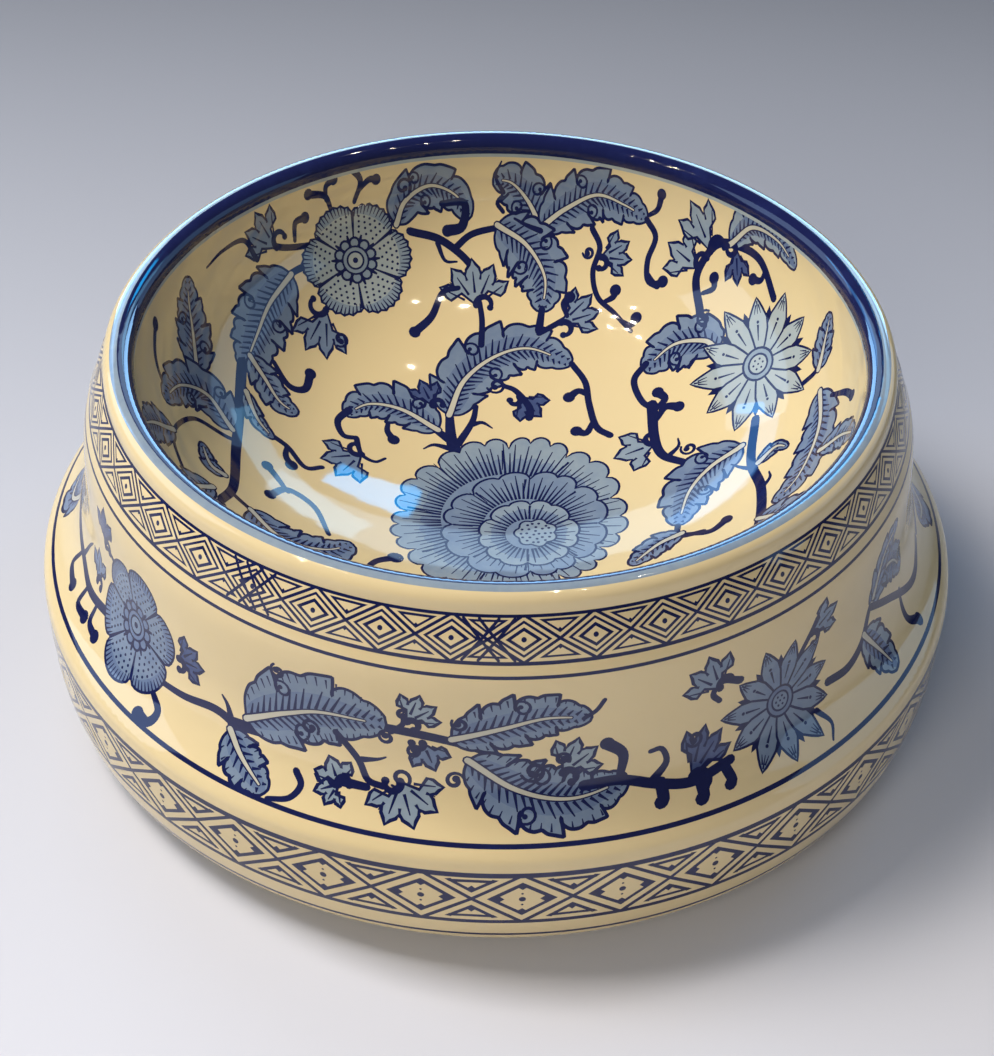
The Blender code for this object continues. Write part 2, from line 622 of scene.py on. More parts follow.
@dataclass(frozen=True)
class StarBlossom:
    """An open blossom of pointed petals, each with a dash and a dot, about a ringed eye."""

    centre: Point
    radius: float
    turn: float = 0.0
    petals: int = 11

    def petal(self, angle: float, reach: float, breadth: float) -> np.ndarray:
        """One pointed petal's outline.

        Args:
            angle: its direction.
            reach: its tip's distance from the middle.
            breadth: its half width.

        Returns:
            The outline's points.
        """
        share = np.array((0.16, 0.34, 0.52, 0.68, 0.82, 0.92))
        half = breadth * np.array((0.42, 0.72, 0.97, 0.95, 0.6, 0.3))
        along = np.r_[share, 1.0, share[::-1]] * reach
        across = np.r_[half, 0.0, -half[::-1]]
        away = np.array((math.cos(angle), math.sin(angle)))
        side = np.array((away[1], -away[0]))
        return as_array([self.centre]) + along[:, None] * away + across[:, None] * side

    def paint(self, art: Painting) -> None:
        """Dark under-petals, the petals with their marks, and the eye.

        Args:
            art: the painting.
        """
        step = FULL_TURN / self.petals
        for index in range(self.petals):
            under = self.petal(self.turn + (index + 0.5) * step, 0.80 * self.radius, 0.10 * self.radius)
            art.lay(under, Tone.LINE)
        for index in range(self.petals):
            angle = self.turn + index * step
            reach = self.radius * (1.0 if index % 2 else 0.93)
            loop = self.petal(angle, reach, 0.165 * self.radius)
            art.lay(loop, Tone.PALE)
            away = np.array((math.cos(angle), math.sin(angle)))
            side = np.array((-away[1], away[0]))
            middle = np.array(self.centre, dtype=float)
            art.tick(middle + 0.60 * reach * away, middle + 0.36 * reach * away, 0.75)
            art.dot(middle + 0.64 * reach * away, 0.5)
            for lean in (-0.055, 0.0, 0.055):
                tip = middle + (0.95 - abs(lean)) * reach * away + 0.4 * lean * self.radius * side
                art.tick(tip, middle + 0.76 * reach * away + lean * self.radius * side, 0.55)
            art.outline(loop, 0.7)
        rings = ((0.25, Tone.LINE), (0.215, Tone.SOFT), (0.16, Tone.LINE), (0.13, Tone.PALE))
        art.rings(self.centre, self.radius, rings)
        for index in range(6):
            art.dot(toward(self.centre, index * FULL_TURN / 6, 0.075 * self.radius), 0.38, sides=7)
        art.dot(self.centre, 0.35, sides=7)


@dataclass(frozen=True)
class PetalRow:
    """One row of a peony: its centre, its scalloped petals and the strokes at their roots."""

    centre: Point
    radius: float
    root: float
    petals: int
    scallops: int
    strokes: int
    tone: Tone
    turn: float = 0.0

    def rim(self) -> np.ndarray:
        """The row's outer edge, petal after petal.

        Returns:
            The edge's points.
        """
        angles = np.linspace(0, FULL_TURN, 8 * self.petals * self.scallops, endpoint=False)
        petal = np.abs(np.sin(0.5 * self.petals * angles))
        scallop = np.abs(np.sin(0.5 * (self.petals * self.scallops) * angles))
        uneven = 1.0 + 0.03 * np.sin(2 * angles)
        radii = self.radius * (0.86 + 0.07 * petal**0.5 + 0.07 * scallop**0.6) * uneven
        return polar(self.centre, angles + self.turn + 0.07 * np.sin(3 * angles), radii)


@dataclass(frozen=True)
class Peony:
    """A full-blown peony seen from above: rows of scalloped petals about a dotted heart."""

    rows: tuple[PetalRow, ...]
    centre: Point
    heart: float
    seed: int = 7

    def paint(self, art: Painting) -> None:
        """The rows from the outside in, then the heart.

        Args:
            art: the painting.
        """
        dice = random.Random(self.seed)
        for row in self.rows:
            self.paint_row(art, row, dice)
        angles = np.linspace(0, FULL_TURN, 48, endpoint=False)
        edge = polar(self.centre, angles, self.heart * (0.82 + 0.18 * np.abs(np.sin(3.5 * angles))))
        art.lay(edge, Tone.SOFT)
        art.outline(edge, 0.6)
        for circle in (0.15, 0.42, 0.68):
            count = max(3, int(circle * self.heart * 3.4))
            for index in range(count):
                angle = (index + dice.uniform(-0.2, 0.2)) * FULL_TURN / count
                art.dot(toward(self.centre, angle, circle * self.heart), 0.46, sides=7)

    def paint_row(self, art: Painting, row: PetalRow, dice: random.Random) -> None:
        """A row with its wash, root strokes, outline and the folds between its petals.

        Args:
            art: the painting.
            row: the row.
            dice: where the strokes' small differences come from.
        """
        rim = row.rim()
        art.lay(rim, row.tone)
        centre = np.array(row.centre)
        art.lay(centre + 0.76 * (rim - centre), Tone.WASH)
        gap = row.radius - row.root
        for index in range(row.strokes):
            angle = row.turn + (index + dice.uniform(-0.15, 0.15)) * FULL_TURN / row.strokes
            far = row.root + gap * (0.78 if index % 2 else 0.55) * dice.uniform(0.88, 1.08)
            art.spoke(row.centre, angle, (row.root - 1.0, far), 0.8)
        art.outline(rim, 0.72)
        for petal in range(row.petals):
            angle = row.turn + petal * FULL_TURN / row.petals
            art.spoke(row.centre, angle, (row.radius * 0.85, row.radius * 0.62), 0.8, lean=0.03)


def inset(corners: np.ndarray, gap: float) -> np.ndarray:
    """A convex outline moved inwards by the same amount on every side.

    Args:
        corners: its corners, anticlockwise.
        gap: how far in.

    Returns:
        The smaller outline's corners.
    """
    along = np.roll(corners, -1, axis=0) - corners
    along /= np.linalg.norm(along, axis=1)[:, None]
    before = np.roll(along, 1, axis=0)
    inward = along - before
    turn = before[:, 0] * along[:, 1] - before[:, 1] * along[:, 0]
    return corners + gap * inward / np.maximum(turn, 1e-6)[:, None]


class Lattice(Enum):
    """The two diamond borders: the collar's, and the belly's bolder one."""

    COLLAR = "collar"
    BELLY = "belly"


@dataclass(frozen=True)
class DiamondBand:
    """A border of diamonds between two lines: a ruled trellis with a smaller outline in every opening."""

    low: float
    high: float
    circumference: float
    count: int
    style: Lattice
    phase: float = 0.0

    def nest(self, art: Painting, corners: np.ndarray, gap: float, width: float) -> np.ndarray:
        """Outline the corners moved in from the trellis.

        Args:
            art: the painting.
            corners: the opening's corners, anticlockwise.
            gap: how far in the outline's outer edge lies.
            width: the line's width.

        Returns:
            The outline's corners.
        """
        outer, inner = inset(corners, gap), inset(corners, gap + width)
        art.lay_between(outer, inner, Tone.LINE)
        return outer

    def paint(self, art: Painting) -> None:
        """The trellis, and what each of its openings holds.

        Args:
            art: the painting.
        """
        cell = self.circumference / self.count
        middle, half = 0.5 * (self.low + self.high), 0.5 * (self.high - self.low)
        belly = self.style is Lattice.BELLY
        for index in range(-2, self.count + 1):
            x = self.phase - 0.5 * self.circumference + index * cell
            gap = x + cell / 2
            left, right = gap - cell / 2, gap + cell / 2
            top, foot = middle + half, middle - half
            for rise in (1, -1):
                line = ((left, middle - rise * half), (right, middle + rise * half))
                art.line(as_array(line), even(1.05 if belly else 0.78))
            diamond = as_array(((x, foot), (x + cell / 2, middle), (x, top), (x - cell / 2, middle)))
            above = as_array(((gap, middle), (right, top), (left, top)))
            below = as_array(((gap, middle), (left, foot), (right, foot)))
            if belly:
                self.belly_cell(art, diamond, (above, below))
            else:
                self.collar_cell(art, diamond, (above, below))

    def belly_cell(self, art: Painting, diamond: np.ndarray, gaps: tuple[np.ndarray, np.ndarray]) -> None:
        """A bold cell: an inner diamond with filled corners about a dot, and triangles with a drop.

        Args:
            art: the painting.
            diamond: the diamond's corners.
            gaps: the triangles above and below the crossing beside it.
        """
        middle = diamond.mean(axis=0)
        small = self.nest(art, diamond, 2.2, 1.1)
        for index, corner in enumerate(small):
            self.fill_corner(art, corner, middle, 0.50 if index % 2 else 0.44, 0.34 if index % 2 else 0.46)
        art.dot(middle, 0.9)
        for rise in (-1, 1):
            art.dot(middle + (0.0, 2.1 * rise), 0.35, sides=7)
        for triangle in gaps:
            inner = self.nest(art, triangle, 1.9, 1.0)
            centre = inner.mean(axis=0)
            self.fill_corner(art, inner[0], centre, 0.85, 0.36)
            for corner in inner[1:]:
                self.fill_corner(art, corner, centre, 0.34, 0.30)

    def collar_cell(self, art: Painting, diamond: np.ndarray, gaps: tuple[np.ndarray, np.ndarray]) -> None:
        """A fine cell: two nested diamonds about a dot, and a triangle in each gap.

        Args:
            art: the painting.
            diamond: the diamond's corners.
            gaps: the triangles above and below the crossing beside it.
        """
        self.nest(art, diamond, 1.1, 0.62)
        self.nest(art, diamond, 2.45, 0.8)
        art.dot(diamond.mean(axis=0), 0.7)
        for triangle in gaps:
            inner = self.nest(art, triangle, 1.15, 0.58)
            self.fill_corner(art, inner[0], inner.mean(axis=0), 0.6, 0.4)

    def fill_corner(
        self, art: Painting, corner: np.ndarray, middle: np.ndarray, share: float, breadth: float
    ) -> None:
        """A dark wedge where a nested outline turns.

        Args:
            art: the painting.
            corner: the corner.
            middle: the cell's middle, which the wedge points at.
            share: how far towards the middle it reaches.
            breadth: half of its width, as a share of its reach.
        """
        inward = share * (middle - corner)
        side = breadth * np.array((-inward[1], inward[0]))
        points = (corner, corner + 0.62 * inward - side, corner + inward, corner + 0.62 * inward + side)
        art.lay(np.array(points), Tone.LINE)


# ---------------------------------------------------------------- turned surfaces


@dataclass
class Profile:
    """The section of a turned shell: radius and height, in millimetres."""

    points: np.ndarray

    def __post_init__(self) -> None:
        """Work out the lengths along the section."""
        self.along = np.r_[0.0, np.cumsum(np.linalg.norm(np.diff(self.points, axis=0), axis=1))]
        slope = np.gradient(self.points, self.along, axis=0)
        slope /= np.linalg.norm(slope, axis=1)[:, None]
        self.outward = np.stack((-slope[:, 1], slope[:, 0]), axis=1)

    @property
    def length(self) -> float:
        """The section's whole length."""
        return float(self.along[-1])

    def place(self, along: np.ndarray) -> tuple[np.ndarray, np.ndarray]:
        """Radius and height at distances along the section."""
        return tuple(np.interp(along, self.along, self.points[:, i]) for i in (0, 1))

    def facing(self, radius: np.ndarray, height: np.ndarray) -> np.ndarray:
        """The outward direction of the section nearest to each place.

        Args:
            radius: the places' distances from the axis.
            height: their heights.

        Returns:
            Radial and vertical parts of each direction.
        """
        found = np.empty((len(radius), 2))
        batch = 4000
        for start in range(0, len(radius), batch):
            rows = slice(start, start + batch)
            across = (radius[rows, None] - self.points[None, :, 0]) ** 2
            up = (height[rows, None] - self.points[None, :, 1]) ** 2
            found[rows] = self.outward[(across + up).argmin(axis=1)]
        return found

    def rows(self, spacing: float, turn: float) -> np.ndarray:
        """Distances for the skin's rows: evenly spaced, and closer where the section bends.

        Args:
            spacing: the greatest distance between rows.
            turn: the greatest bend between rows, in radians.

        Returns:
            The distances, with both ends.
        """
        bend = np.unwrap(np.arctan2(self.outward[:, 1], self.outward[:, 0]))
        cost = np.r_[0.0, np.cumsum(np.maximum(np.diff(self.along) / spacing, np.abs(np.diff(bend)) / turn))]
        count = int(math.ceil(cost[-1]))
        return np.interp(np.linspace(0, cost[-1], count + 1), cost, self.along)


def curve_through(points: Points) -> np.ndarray:
    """A fine smooth curve through a section's points."""
    return smooth_line(points, 0.12)


@dataclass
class DiscChart:
    """The unrolled inside of a bowl: distance from the middle along the surface, in each direction."""

    profile: Profile

    def place(self, flat: np.ndarray) -> np.ndarray:
        """Where flat points lie on the bowl.

        Args:
            flat: points on the chart, in millimetres; y points to the back.

        Returns:
            Points in space, in metres.
        """
        along = np.linalg.norm(flat, axis=1)
        radius, height = self.profile.place(along)
        away = flat / np.maximum(along, 1e-9)[:, None]
        return MM * np.column_stack((radius[:, None] * away, height))

    def border(self) -> np.ndarray:
        """The chart's outer circle."""
        return ring((0.0, 0.0), self.profile.length, AROUND)

    def fillers(self) -> np.ndarray:
        """Points that carry the curve between strokes.

        Returns:
            The points.
        """
        found = [np.zeros((1, 2))]
        for index, along in enumerate(self.profile.rows(3.2, 0.16)[1:-1]):
            radius = float(self.profile.place(np.array([along]))[0][0])
            count = int(min(AROUND, max(8, radius * FULL_TURN / 2.6)))
            turn = (np.arange(count) + 0.5 * (index % 2)) * FULL_TURN / count
            found.append(np.stack((along * np.cos(turn), along * np.sin(turn)), axis=1))
        return np.vstack(found)

    def holds(self, flat: np.ndarray) -> np.ndarray:
        """Whether each flat point is on the chart."""
        return np.linalg.norm(flat, axis=1) <= self.profile.length

    def bake_uv(self, flat: np.ndarray, middle: np.ndarray) -> np.ndarray:
        """Where corners go on the bake map: the chart itself, in the map's lower left part.

        Args:
            flat: the corners on the chart.
            middle: not used; the middles of the faces that they belong to.

        Returns:
            Their places on the map.
        """
        return 0.46 + 0.45 * flat / self.profile.length


@dataclass
class BandChart:
    """The unrolled outside of a shell: x round it, y up from a datum, in millimetres."""

    profile: Profile
    per_degree: float
    datum: float
    strips: int = 3

    @property
    def circumference(self) -> float:
        """The chart's whole width."""
        return 360.0 * self.per_degree

    def place(self, flat: np.ndarray) -> np.ndarray:
        """Where flat points lie on the shell.

        Args:
            flat: points on the chart.

        Returns:
            Points in space, in metres.
        """
        turn = np.radians(flat[:, 0] / self.per_degree)
        radius, height = self.profile.place(self.datum - flat[:, 1])
        return MM * np.column_stack((radius * np.sin(turn), -radius * np.cos(turn), height))

    def border(self) -> np.ndarray:
        """The chart's edges: its top, its bottom and the line where it wraps.

        Returns:
            The edges' points, in order.
        """
        top, low = self.datum, self.datum - self.profile.length
        half = 0.5 * self.circumference
        across = np.linspace(-half, half, AROUND + 1)
        up = np.linspace(low, top, int(self.profile.length / 2.4) + 2)
        lower = np.column_stack((across, np.full(across.shape, low)))
        right = np.column_stack((np.full(up.shape, half), up))
        upper, left = lower + (0.0, top - low), right - (2 * half, 0.0)
        return np.vstack((lower[:-1], right[:-1], upper[:0:-1], left[:0:-1]))

    def fillers(self) -> np.ndarray:
        """Points that carry the curve between strokes.

        Returns:
            The points.
        """
        half = 0.5 * self.circumference
        step = self.circumference / AROUND
        found = []
        for index, along in enumerate(self.profile.rows(3.0, 0.12)[1:-1]):
            x = -half + step * (np.arange(1, AROUND) - 0.5 * (index % 2))
            found.append(np.column_stack((x, np.full(x.shape, self.datum - along))))
        return np.vstack(found)

    def holds(self, flat: np.ndarray) -> np.ndarray:
        """Whether each flat point is on the chart.

        Args:
            flat: points on the chart.

        Returns:
            A yes or no for each.
        """
        below = self.datum - flat[:, 1]
        inside = np.abs(flat[:, 0]) <= 0.5 * self.circumference
        return inside & (below >= 0) & (below <= self.profile.length)

    def bake_uv(self, flat: np.ndarray, middle: np.ndarray) -> np.ndarray:
        """Where corners go on the bake map: the band cut into strips, one above another.

        Args:
            flat: the corners on the chart.
            middle: the middles of the faces that they belong to.

        Returns:
            Their places on the map.
        """
        strip_width = self.circumference / self.strips
        share = middle[:, 0] / self.circumference + 0.5
        strip = np.clip((share * self.strips).astype(int), 0, self.strips - 1)
        x = flat[:, 0] + 0.5 * self.circumference - strip * strip_width
        y = flat[:, 1] - self.datum + self.profile.length
        tall = 0.90 / self.strips
        u = 0.02 + 0.96 * (x + 2.0) / (strip_width + 4.0)
        v = 0.08 + strip * tall + (tall - 0.02) * y / self.profile.length
        return np.column_stack((u, v))


def winding(points: np.ndarray, loops: list[np.ndarray]) -> np.ndarray:
    """How many times the loops wind round each point.

    Args:
        points: the points.
        loops: closed loops.

    Returns:
        A count for each point.
    """
    total = np.zeros(len(points), dtype=int)
    x, y = points[:, :1], points[:, 1:]
    for loop in loops:
        start, end = loop, np.roll(loop, -1, axis=0)
        side = (end[:, 0] - start[:, 0]) * (y - start[:, 1]) - (x - start[:, 0]) * (end[:, 1] - start[:, 1])
        rises = (start[:, 1] <= y) & (end[:, 1] > y)
        falls = (start[:, 1] > y) & (end[:, 1] <= y)
        total += (rises & (side > 0)).sum(axis=1) - (falls & (side < 0)).sum(axis=1)
    return total


@dataclass
class Skin:
    """A painted surface: its triangles, and the cobalt on each."""

    flat: np.ndarray
    faces: np.ndarray
    cobalt: np.ndarray


def triangulate(chart: DiscChart | BandChart, art: Painting) -> Skin:
    """Cut the chart into triangles along every stroke's edge.

    Args:
        chart: the unrolled surface.
        art: what is painted on it.

    Returns:
        The painted skin.
    """
    border = chart.border()
    points = [border, chart.fillers()]
    edges = [(i, (i + 1) % len(border)) for i in range(len(border))]
    base = sum(len(rows) for rows in points)
    for shape in art.shapes:
        for loop in shape.loops:
            points.append(loop)
            edges.extend((base + i, base + (i + 1) % len(loop)) for i in range(len(loop)))
            base += len(loop)
    corners = [Vector(row) for row in np.vstack(points)]
    found = delaunay_2d_cdt(corners, edges, [], 0, TOUCHING, False)
    flat = np.array([tuple(v) for v in found[0]])
    faces = np.array([face for face in found[2] if len(face) == 3])
    middle = flat[faces].mean(axis=1)
    a, b, c = (flat[faces[:, i]] for i in range(3))
    area = (b - a)[:, 0] * (c - a)[:, 1] - (b - a)[:, 1] * (c - a)[:, 0]
    faces[area < 0] = faces[area < 0][:, ::-1]
    kept = chart.holds(middle) & (np.abs(area) > SLIVER)
    faces, middle = faces[kept], middle[kept]
    order = middle[:, 0].argsort()
    faces, middle = faces[order], middle[order]
    cobalt = np.zeros(len(faces))
    for shape in art.shapes:
        rows = np.vstack(shape.loops)
        low, high = rows.min(axis=0), rows.max(axis=0)
        first, last = np.searchsorted(middle[:, 0], (low[0], high[0]))
        near = first + np.flatnonzero((middle[first:last, 1] >= low[1]) & (middle[first:last, 1] <= high[1]))
        if len(near):
            covered = winding(middle[near], shape.loops) != 0
            cobalt[near[covered]] = shape.tone
    return Skin(flat, faces, cobalt)


def read_rows(rows: bpy.types.bpy_prop_collection, name: str, kind: type, per_row: int = 1) -> np.ndarray:
    """One property of a mesh's elements as an array.

    Args:
        rows: the elements.
        name: the property.
        kind: its type.
        per_row: how many numbers each element has.

    Returns:
        A number for each element, or a row of them.
    """
    found = np.empty(len(rows) * per_row, dtype=kind)
    rows.foreach_get(name, found)
    return found.reshape(-1, per_row) if per_row > 1 else found


def weld_and_face_outwards() -> None:
    """Merge the doubles of the mesh in edit mode, turn its faces outwards and leave edit mode."""
    bpy.ops.mesh.select_all(action="SELECT")
    bpy.ops.mesh.remove_doubles(threshold=WELD)
    bpy.ops.mesh.select_all(action="SELECT")
    bpy.ops.mesh.normals_make_consistent(inside=False)
    bpy.ops.object.mode_set(mode="OBJECT")


def deselect() -> None:
    """Deselect every object."""
    if bpy.context.mode != "OBJECT":
        bpy.ops.object.mode_set(mode="OBJECT")
    bpy.ops.object.select_all(action="DESELECT")


def turn_section(name: str, section: np.ndarray, closed: bool) -> bpy.types.Object:
    """Spin a section round the axis into a shell.

    Args:
        name: the new piece's name.
        section: radius and height of the section's points, in millimetres.
        closed: whether the section's ends meet.

    Returns:
        The shell.
    """
    deselect()
    bpy.ops.mesh.primitive_circle_add(vertices=len(section), radius=MM, fill_type="NOTHING")
    piece = bpy.context.active_object
    piece.name = piece.data.name = name
    for vertex, (radius, height) in zip(piece.data.vertices, section):
        vertex.co = (radius * MM, 0.0, height * MM)
    bpy.ops.object.mode_set(mode="EDIT")
    if not closed:
        bpy.ops.mesh.select_mode(type="EDGE")
        bpy.ops.object.mode_set(mode="OBJECT")
        for vertex in piece.data.vertices:
            vertex.select = False
        for edge in piece.data.edges:
            edge.select = set(edge.vertices) == {0, len(section) - 1}
        bpy.ops.object.mode_set(mode="EDIT")
        bpy.ops.mesh.delete(type="EDGE")
    bpy.ops.mesh.select_mode(type="VERT")
    bpy.ops.mesh.select_all(action="SELECT")
    bpy.ops.mesh.spin(steps=AROUND, angle=FULL_TURN, center=(0, 0, 0), axis=(0, 0, 1))
    weld_and_face_outwards()
    bpy.ops.object.shade_smooth_by_angle(angle=SMOOTH_BELOW)
    return piece


@dataclass
class PaintedShell:
    """A closed shell whose visible skin carries the painting and whose back is plainly turned."""

    name: str
    chart: DiscChart | BandChart
    back: np.ndarray
    art: Painting

    def build(self) -> bpy.types.Object:
        """Make the painted skin, turn the back, and weld the two into one closed body.

        Returns:
            The finished piece.
        """
        skin = triangulate(self.chart, self.art)
        mesh = bpy.data.meshes.new(self.name)
        mesh.from_pydata(self.chart.place(skin.flat).tolist(), [], skin.faces.tolist())
        for name, values in ((COBALT, skin.cobalt), ("painted", np.ones(len(skin.faces)))):
            mesh.attributes.new(name, "FLOAT", "FACE").data.foreach_set("value", values.astype(np.float32))
        layer = mesh.uv_layers.new(name=BAKE_MAP)
        corners = skin.faces.ravel()
        middles = np.repeat(skin.flat[skin.faces].mean(axis=1), 3, axis=0)
        layer.data.foreach_set("uv", self.chart.bake_uv(skin.flat[corners], middles).ravel())
        piece = bpy.data.objects.new(self.name, mesh)
        bpy.context.collection.objects.link(piece)
        back = turn_section(self.name + "_back", self.back, closed=False)
        self.lay_out_back(back)
        deselect()
        back.select_set(True)
        piece.select_set(True)
        bpy.context.view_layer.objects.active = piece
        bpy.ops.object.join()
        bpy.ops.object.mode_set(mode="EDIT")
        weld_and_face_outwards()
        self.smooth(piece)
        return piece

    def lay_out_back(self, back: bpy.types.Object) -> None:
        """Give the back a narrow strip of the bake map, along its bottom edge.

        Args:
            back: the turned back.
        """
        mesh = back.data
        layer = mesh.uv_layers.new(name=BAKE_MAP)
        place = read_rows(mesh.vertices, "co", float, 3)
        spread = place[read_rows(mesh.loops, "vertex_index", int)]
        turn = np.arctan2(spread[:, 1], spread[:, 0]) / FULL_TURN + 0.5
        tall = (spread[:, 2] - place[:, 2].min()) / max(float(np.ptp(place[:, 2])), 1e-6)
        layer.data.foreach_set("uv", np.column_stack((0.01 + 0.98 * turn, 0.005 + 0.05 * tall)).ravel())

    def smooth(self, piece: bpy.types.Object) -> None:
        """Shade the skin by the section's own direction, so that no stroke dents the gloss.

        Args:
            piece: the welded piece.
        """
        mesh = piece.data
        mesh.shade_smooth()
        place = read_rows(mesh.vertices, "co", float, 3) / MM
        radius = np.hypot(place[:, 0], place[:, 1])
        facing = self.chart.profile.facing(radius, place[:, 2])
        away = place[:, :2] / np.maximum(radius, 1e-6)[:, None]
        facing[radius < 0.05] = (0.0, 1.0)
        normal = np.column_stack((facing[:, :1] * away, facing[:, 1]))
        corners = read_rows(mesh.loops, "vertex_index", int)
        counts = read_rows(mesh.polygons, "loop_total", int)
        painted = read_rows(mesh.attributes["painted"].data, "value", np.float32)
        chosen = normal[corners] * np.repeat(painted > 0.5, counts)[:, None]
        mesh.normals_split_custom_set(chosen.tolist())


# ---------------------------------------------------------------- finishes


class FinishBench:
    """A new material with its shader, and short ways to add the nodes that the finishes share."""

    def __init__(self, name: str) -> None:
        """Start the material that has this name.

        Args:
            name: the material's name.
        """
        self.material = bpy.data.materials.new(name)
        self.material.use_nodes = True
        self.tree = self.material.node_tree
        self.shader = self.tree.nodes["Principled BSDF"]
        self.place = self.node("TexCoord").outputs["Object"]

    def node(self, kind: str, **constants: float) -> bpy.types.Node:
        """Add a node.

        Args:
            kind: its type, without the prefix that all shader nodes have.
            constants: values for its inputs, with _ for each space in an input's name.

        Returns:
            The node.
        """
        node = self.tree.nodes.new("ShaderNode" + kind)
        for name, value in constants.items():
            node.inputs[name.replace("_", " ")].default_value = value
        return node

    def link(self, source: Socket, target: Socket) -> None:
        """Join an output to an input."""
        self.tree.links.new(source, target)

    def noise(self, scale: float, detail: float) -> Socket:
        """A noise on the object's own coordinates.

        Args:
            scale: its scale, per metre.
            detail: how many finer octaves it has.

        Returns:
            The socket that gives it.
        """
        node = self.node("TexNoise", Scale=scale, Detail=detail)
        self.link(self.place, node.inputs["Vector"])
        return node.outputs["Fac"]

    def reckon(self, operation: str, *terms: Socket | float) -> bpy.types.Node:
        """Add a sum, a product or a comparison.

        Args:
            operation: Blender's name for it.
            terms: what goes into it, in order.

        Returns:
            The node.
        """
        node = self.node("Math")
        node.operation = operation
        for entry, term in zip(node.inputs, terms):
            if isinstance(term, float):
                entry.default_value = term
            else:
                self.link(term, entry)
        return node

    def blend(self, share: Socket, first: Socket | Point3, second: Socket | Point3) -> Socket:
        """Mix two colours.

        Args:
            share: the socket that says how much of the second one there is.
            first: the colour at 0.
            second: the colour at 1.

        Returns:
            The socket that gives the mixed colour.
        """
        node = self.node("Mix")
        node.data_type = "RGBA"
        self.link(share, node.inputs["Factor"])
        for name, colour in (("A", first), ("B", second)):
            if isinstance(colour, tuple):
                node.inputs[name].default_value = (*colour, 1.0)
            else:
                self.link(colour, node.inputs[name])
        return node.outputs["Result"]

    def finish(self, colour: Socket, **constants: float) -> bpy.types.Material:
        """Give the shader its colour and constants.

        Args:
            colour: the socket that gives the colour.
            constants: values for the shader's own inputs.

        Returns:
            The finished material.
        """
        self.link(colour, self.shader.inputs["Base Color"])
        for name, value in constants.items():
            self.shader.inputs[name.replace("_", " ")].default_value = value
        return self.material

    def bump(self, height: Socket, strength: float, distance: float) -> None:
        """Make the surface uneven.

        Args:
            height: the socket that gives how high each place is.
            strength: how much of it shows.
            distance: how high the highest place is, in metres.
        """
        node = self.node("Bump", Strength=strength, Distance=distance)
        self.link(height, node.inputs["Height"])
        self.link(node.outputs["Normal"], self.shader.inputs["Normal"])


@dataclass(frozen=True)
class Glaze:
    """Clear glaze over ivory porcelain, with cobalt under it where the skin carries paint."""

    name: str = "ivory_glaze"
    ivory: Point3 = (0.68, 0.535, 0.28)
    ivory_thin: Point3 = (0.70, 0.575, 0.35)
    stops: tuple[tuple[float, Point3], ...] = (
        (0.0, (0.68, 0.54, 0.30)),
        (0.10, (0.49, 0.47, 0.39)),
        (0.19, (0.33, 0.385, 0.40)),
        (0.30, (0.205, 0.265, 0.34)),
        (0.42, (0.13, 0.18, 0.29)),
        (0.60, (0.055, 0.080, 0.190)),
        (0.82, (0.010, 0.016, 0.085)),
        (1.0, (0.006, 0.009, 0.060)),
    )
    cloud: Point = (14.0, 3.0)
    ripple: Point = (120.0, 1.0)
    pools: Point3 = (70.0, 3.0, 0.42)
    grain: Point3 = (430.0, 4.0, 0.26)
    thinnest: float = 0.66
    least_cobalt: float = 0.01
    roughness: float = 0.05
    ior: float = 1.5

    def build(self) -> bpy.types.Material:
        """Make the material.

        Returns:
            The glaze.
        """
        bench = FinishBench(self.name)
        cobalt = bench.node("Attribute")
        cobalt.attribute_name = COBALT
        ivory = bench.blend(bench.noise(*self.cloud), self.ivory, self.ivory_thin)
        painted = bench.reckon("GREATER_THAN", cobalt.outputs["Fac"], self.least_cobalt)
        blue = self.blues(bench, self.pooled(bench, cobalt.outputs["Fac"]))
        bench.bump(bench.noise(*self.ripple), 0.10, 0.0005)
        colour = bench.blend(painted.outputs[0], ivory, blue)
        return bench.finish(colour, Roughness=self.roughness, IOR=self.ior)

    def blues(self, bench: FinishBench, amount: Socket) -> Socket:
        """The colour of each amount of cobalt under the glaze.

        Args:
            bench: the material.
            amount: the socket that gives the amount.

        Returns:
            The socket that gives the colour.
        """
        ramp = bench.node("ValToRGB")
        ramp.color_ramp.interpolation = "LINEAR"
        stops = ramp.color_ramp.elements
        for stop, (position, colour) in zip(stops, (self.stops[0], self.stops[-1])):
            stop.position, stop.color = position, (*colour, 1.0)
        for position, colour in self.stops[1:-1]:
            stops.new(position).color = (*colour, 1.0)
        bench.link(amount, ramp.inputs["Fac"])
        return ramp.outputs["Color"]

    def pooled(self, bench: FinishBench, cobalt: Socket) -> Socket:
        """The cobalt's amount, pooled here and thinned there as a wet brush leaves it.

        Args:
            bench: the material.
            cobalt: the socket that gives how much cobalt was laid.

        Returns:
            The socket that gives the amount.
        """
        share: Socket | float = self.thinnest
        for scale, detail, part in (self.pools, self.grain):
            share = bench.reckon("MULTIPLY_ADD", bench.noise(scale, detail), part, share).outputs[0]
        amount = bench.reckon("MULTIPLY", cobalt, share)
        amount.use_clamp = True
        return amount.outputs[0]


@dataclass(frozen=True)
class BareClay:
    """Unglazed porcelain, wiped clean before the firing."""

    name: str = "bare_clay"
    light: Point3 = (0.66, 0.58, 0.47)
    dark: Point3 = (0.44, 0.34, 0.24)
    roughness: float = 0.72

    def build(self) -> bpy.types.Material:
        """Make the material.

        Returns:
            The clay.
        """
        bench = FinishBench(self.name)
        grain = bench.noise(260.0, 6.0)
        bench.bump(grain, 0.4, 0.0002)
        return bench.finish(bench.blend(grain, self.light, self.dark), Roughness=self.roughness)


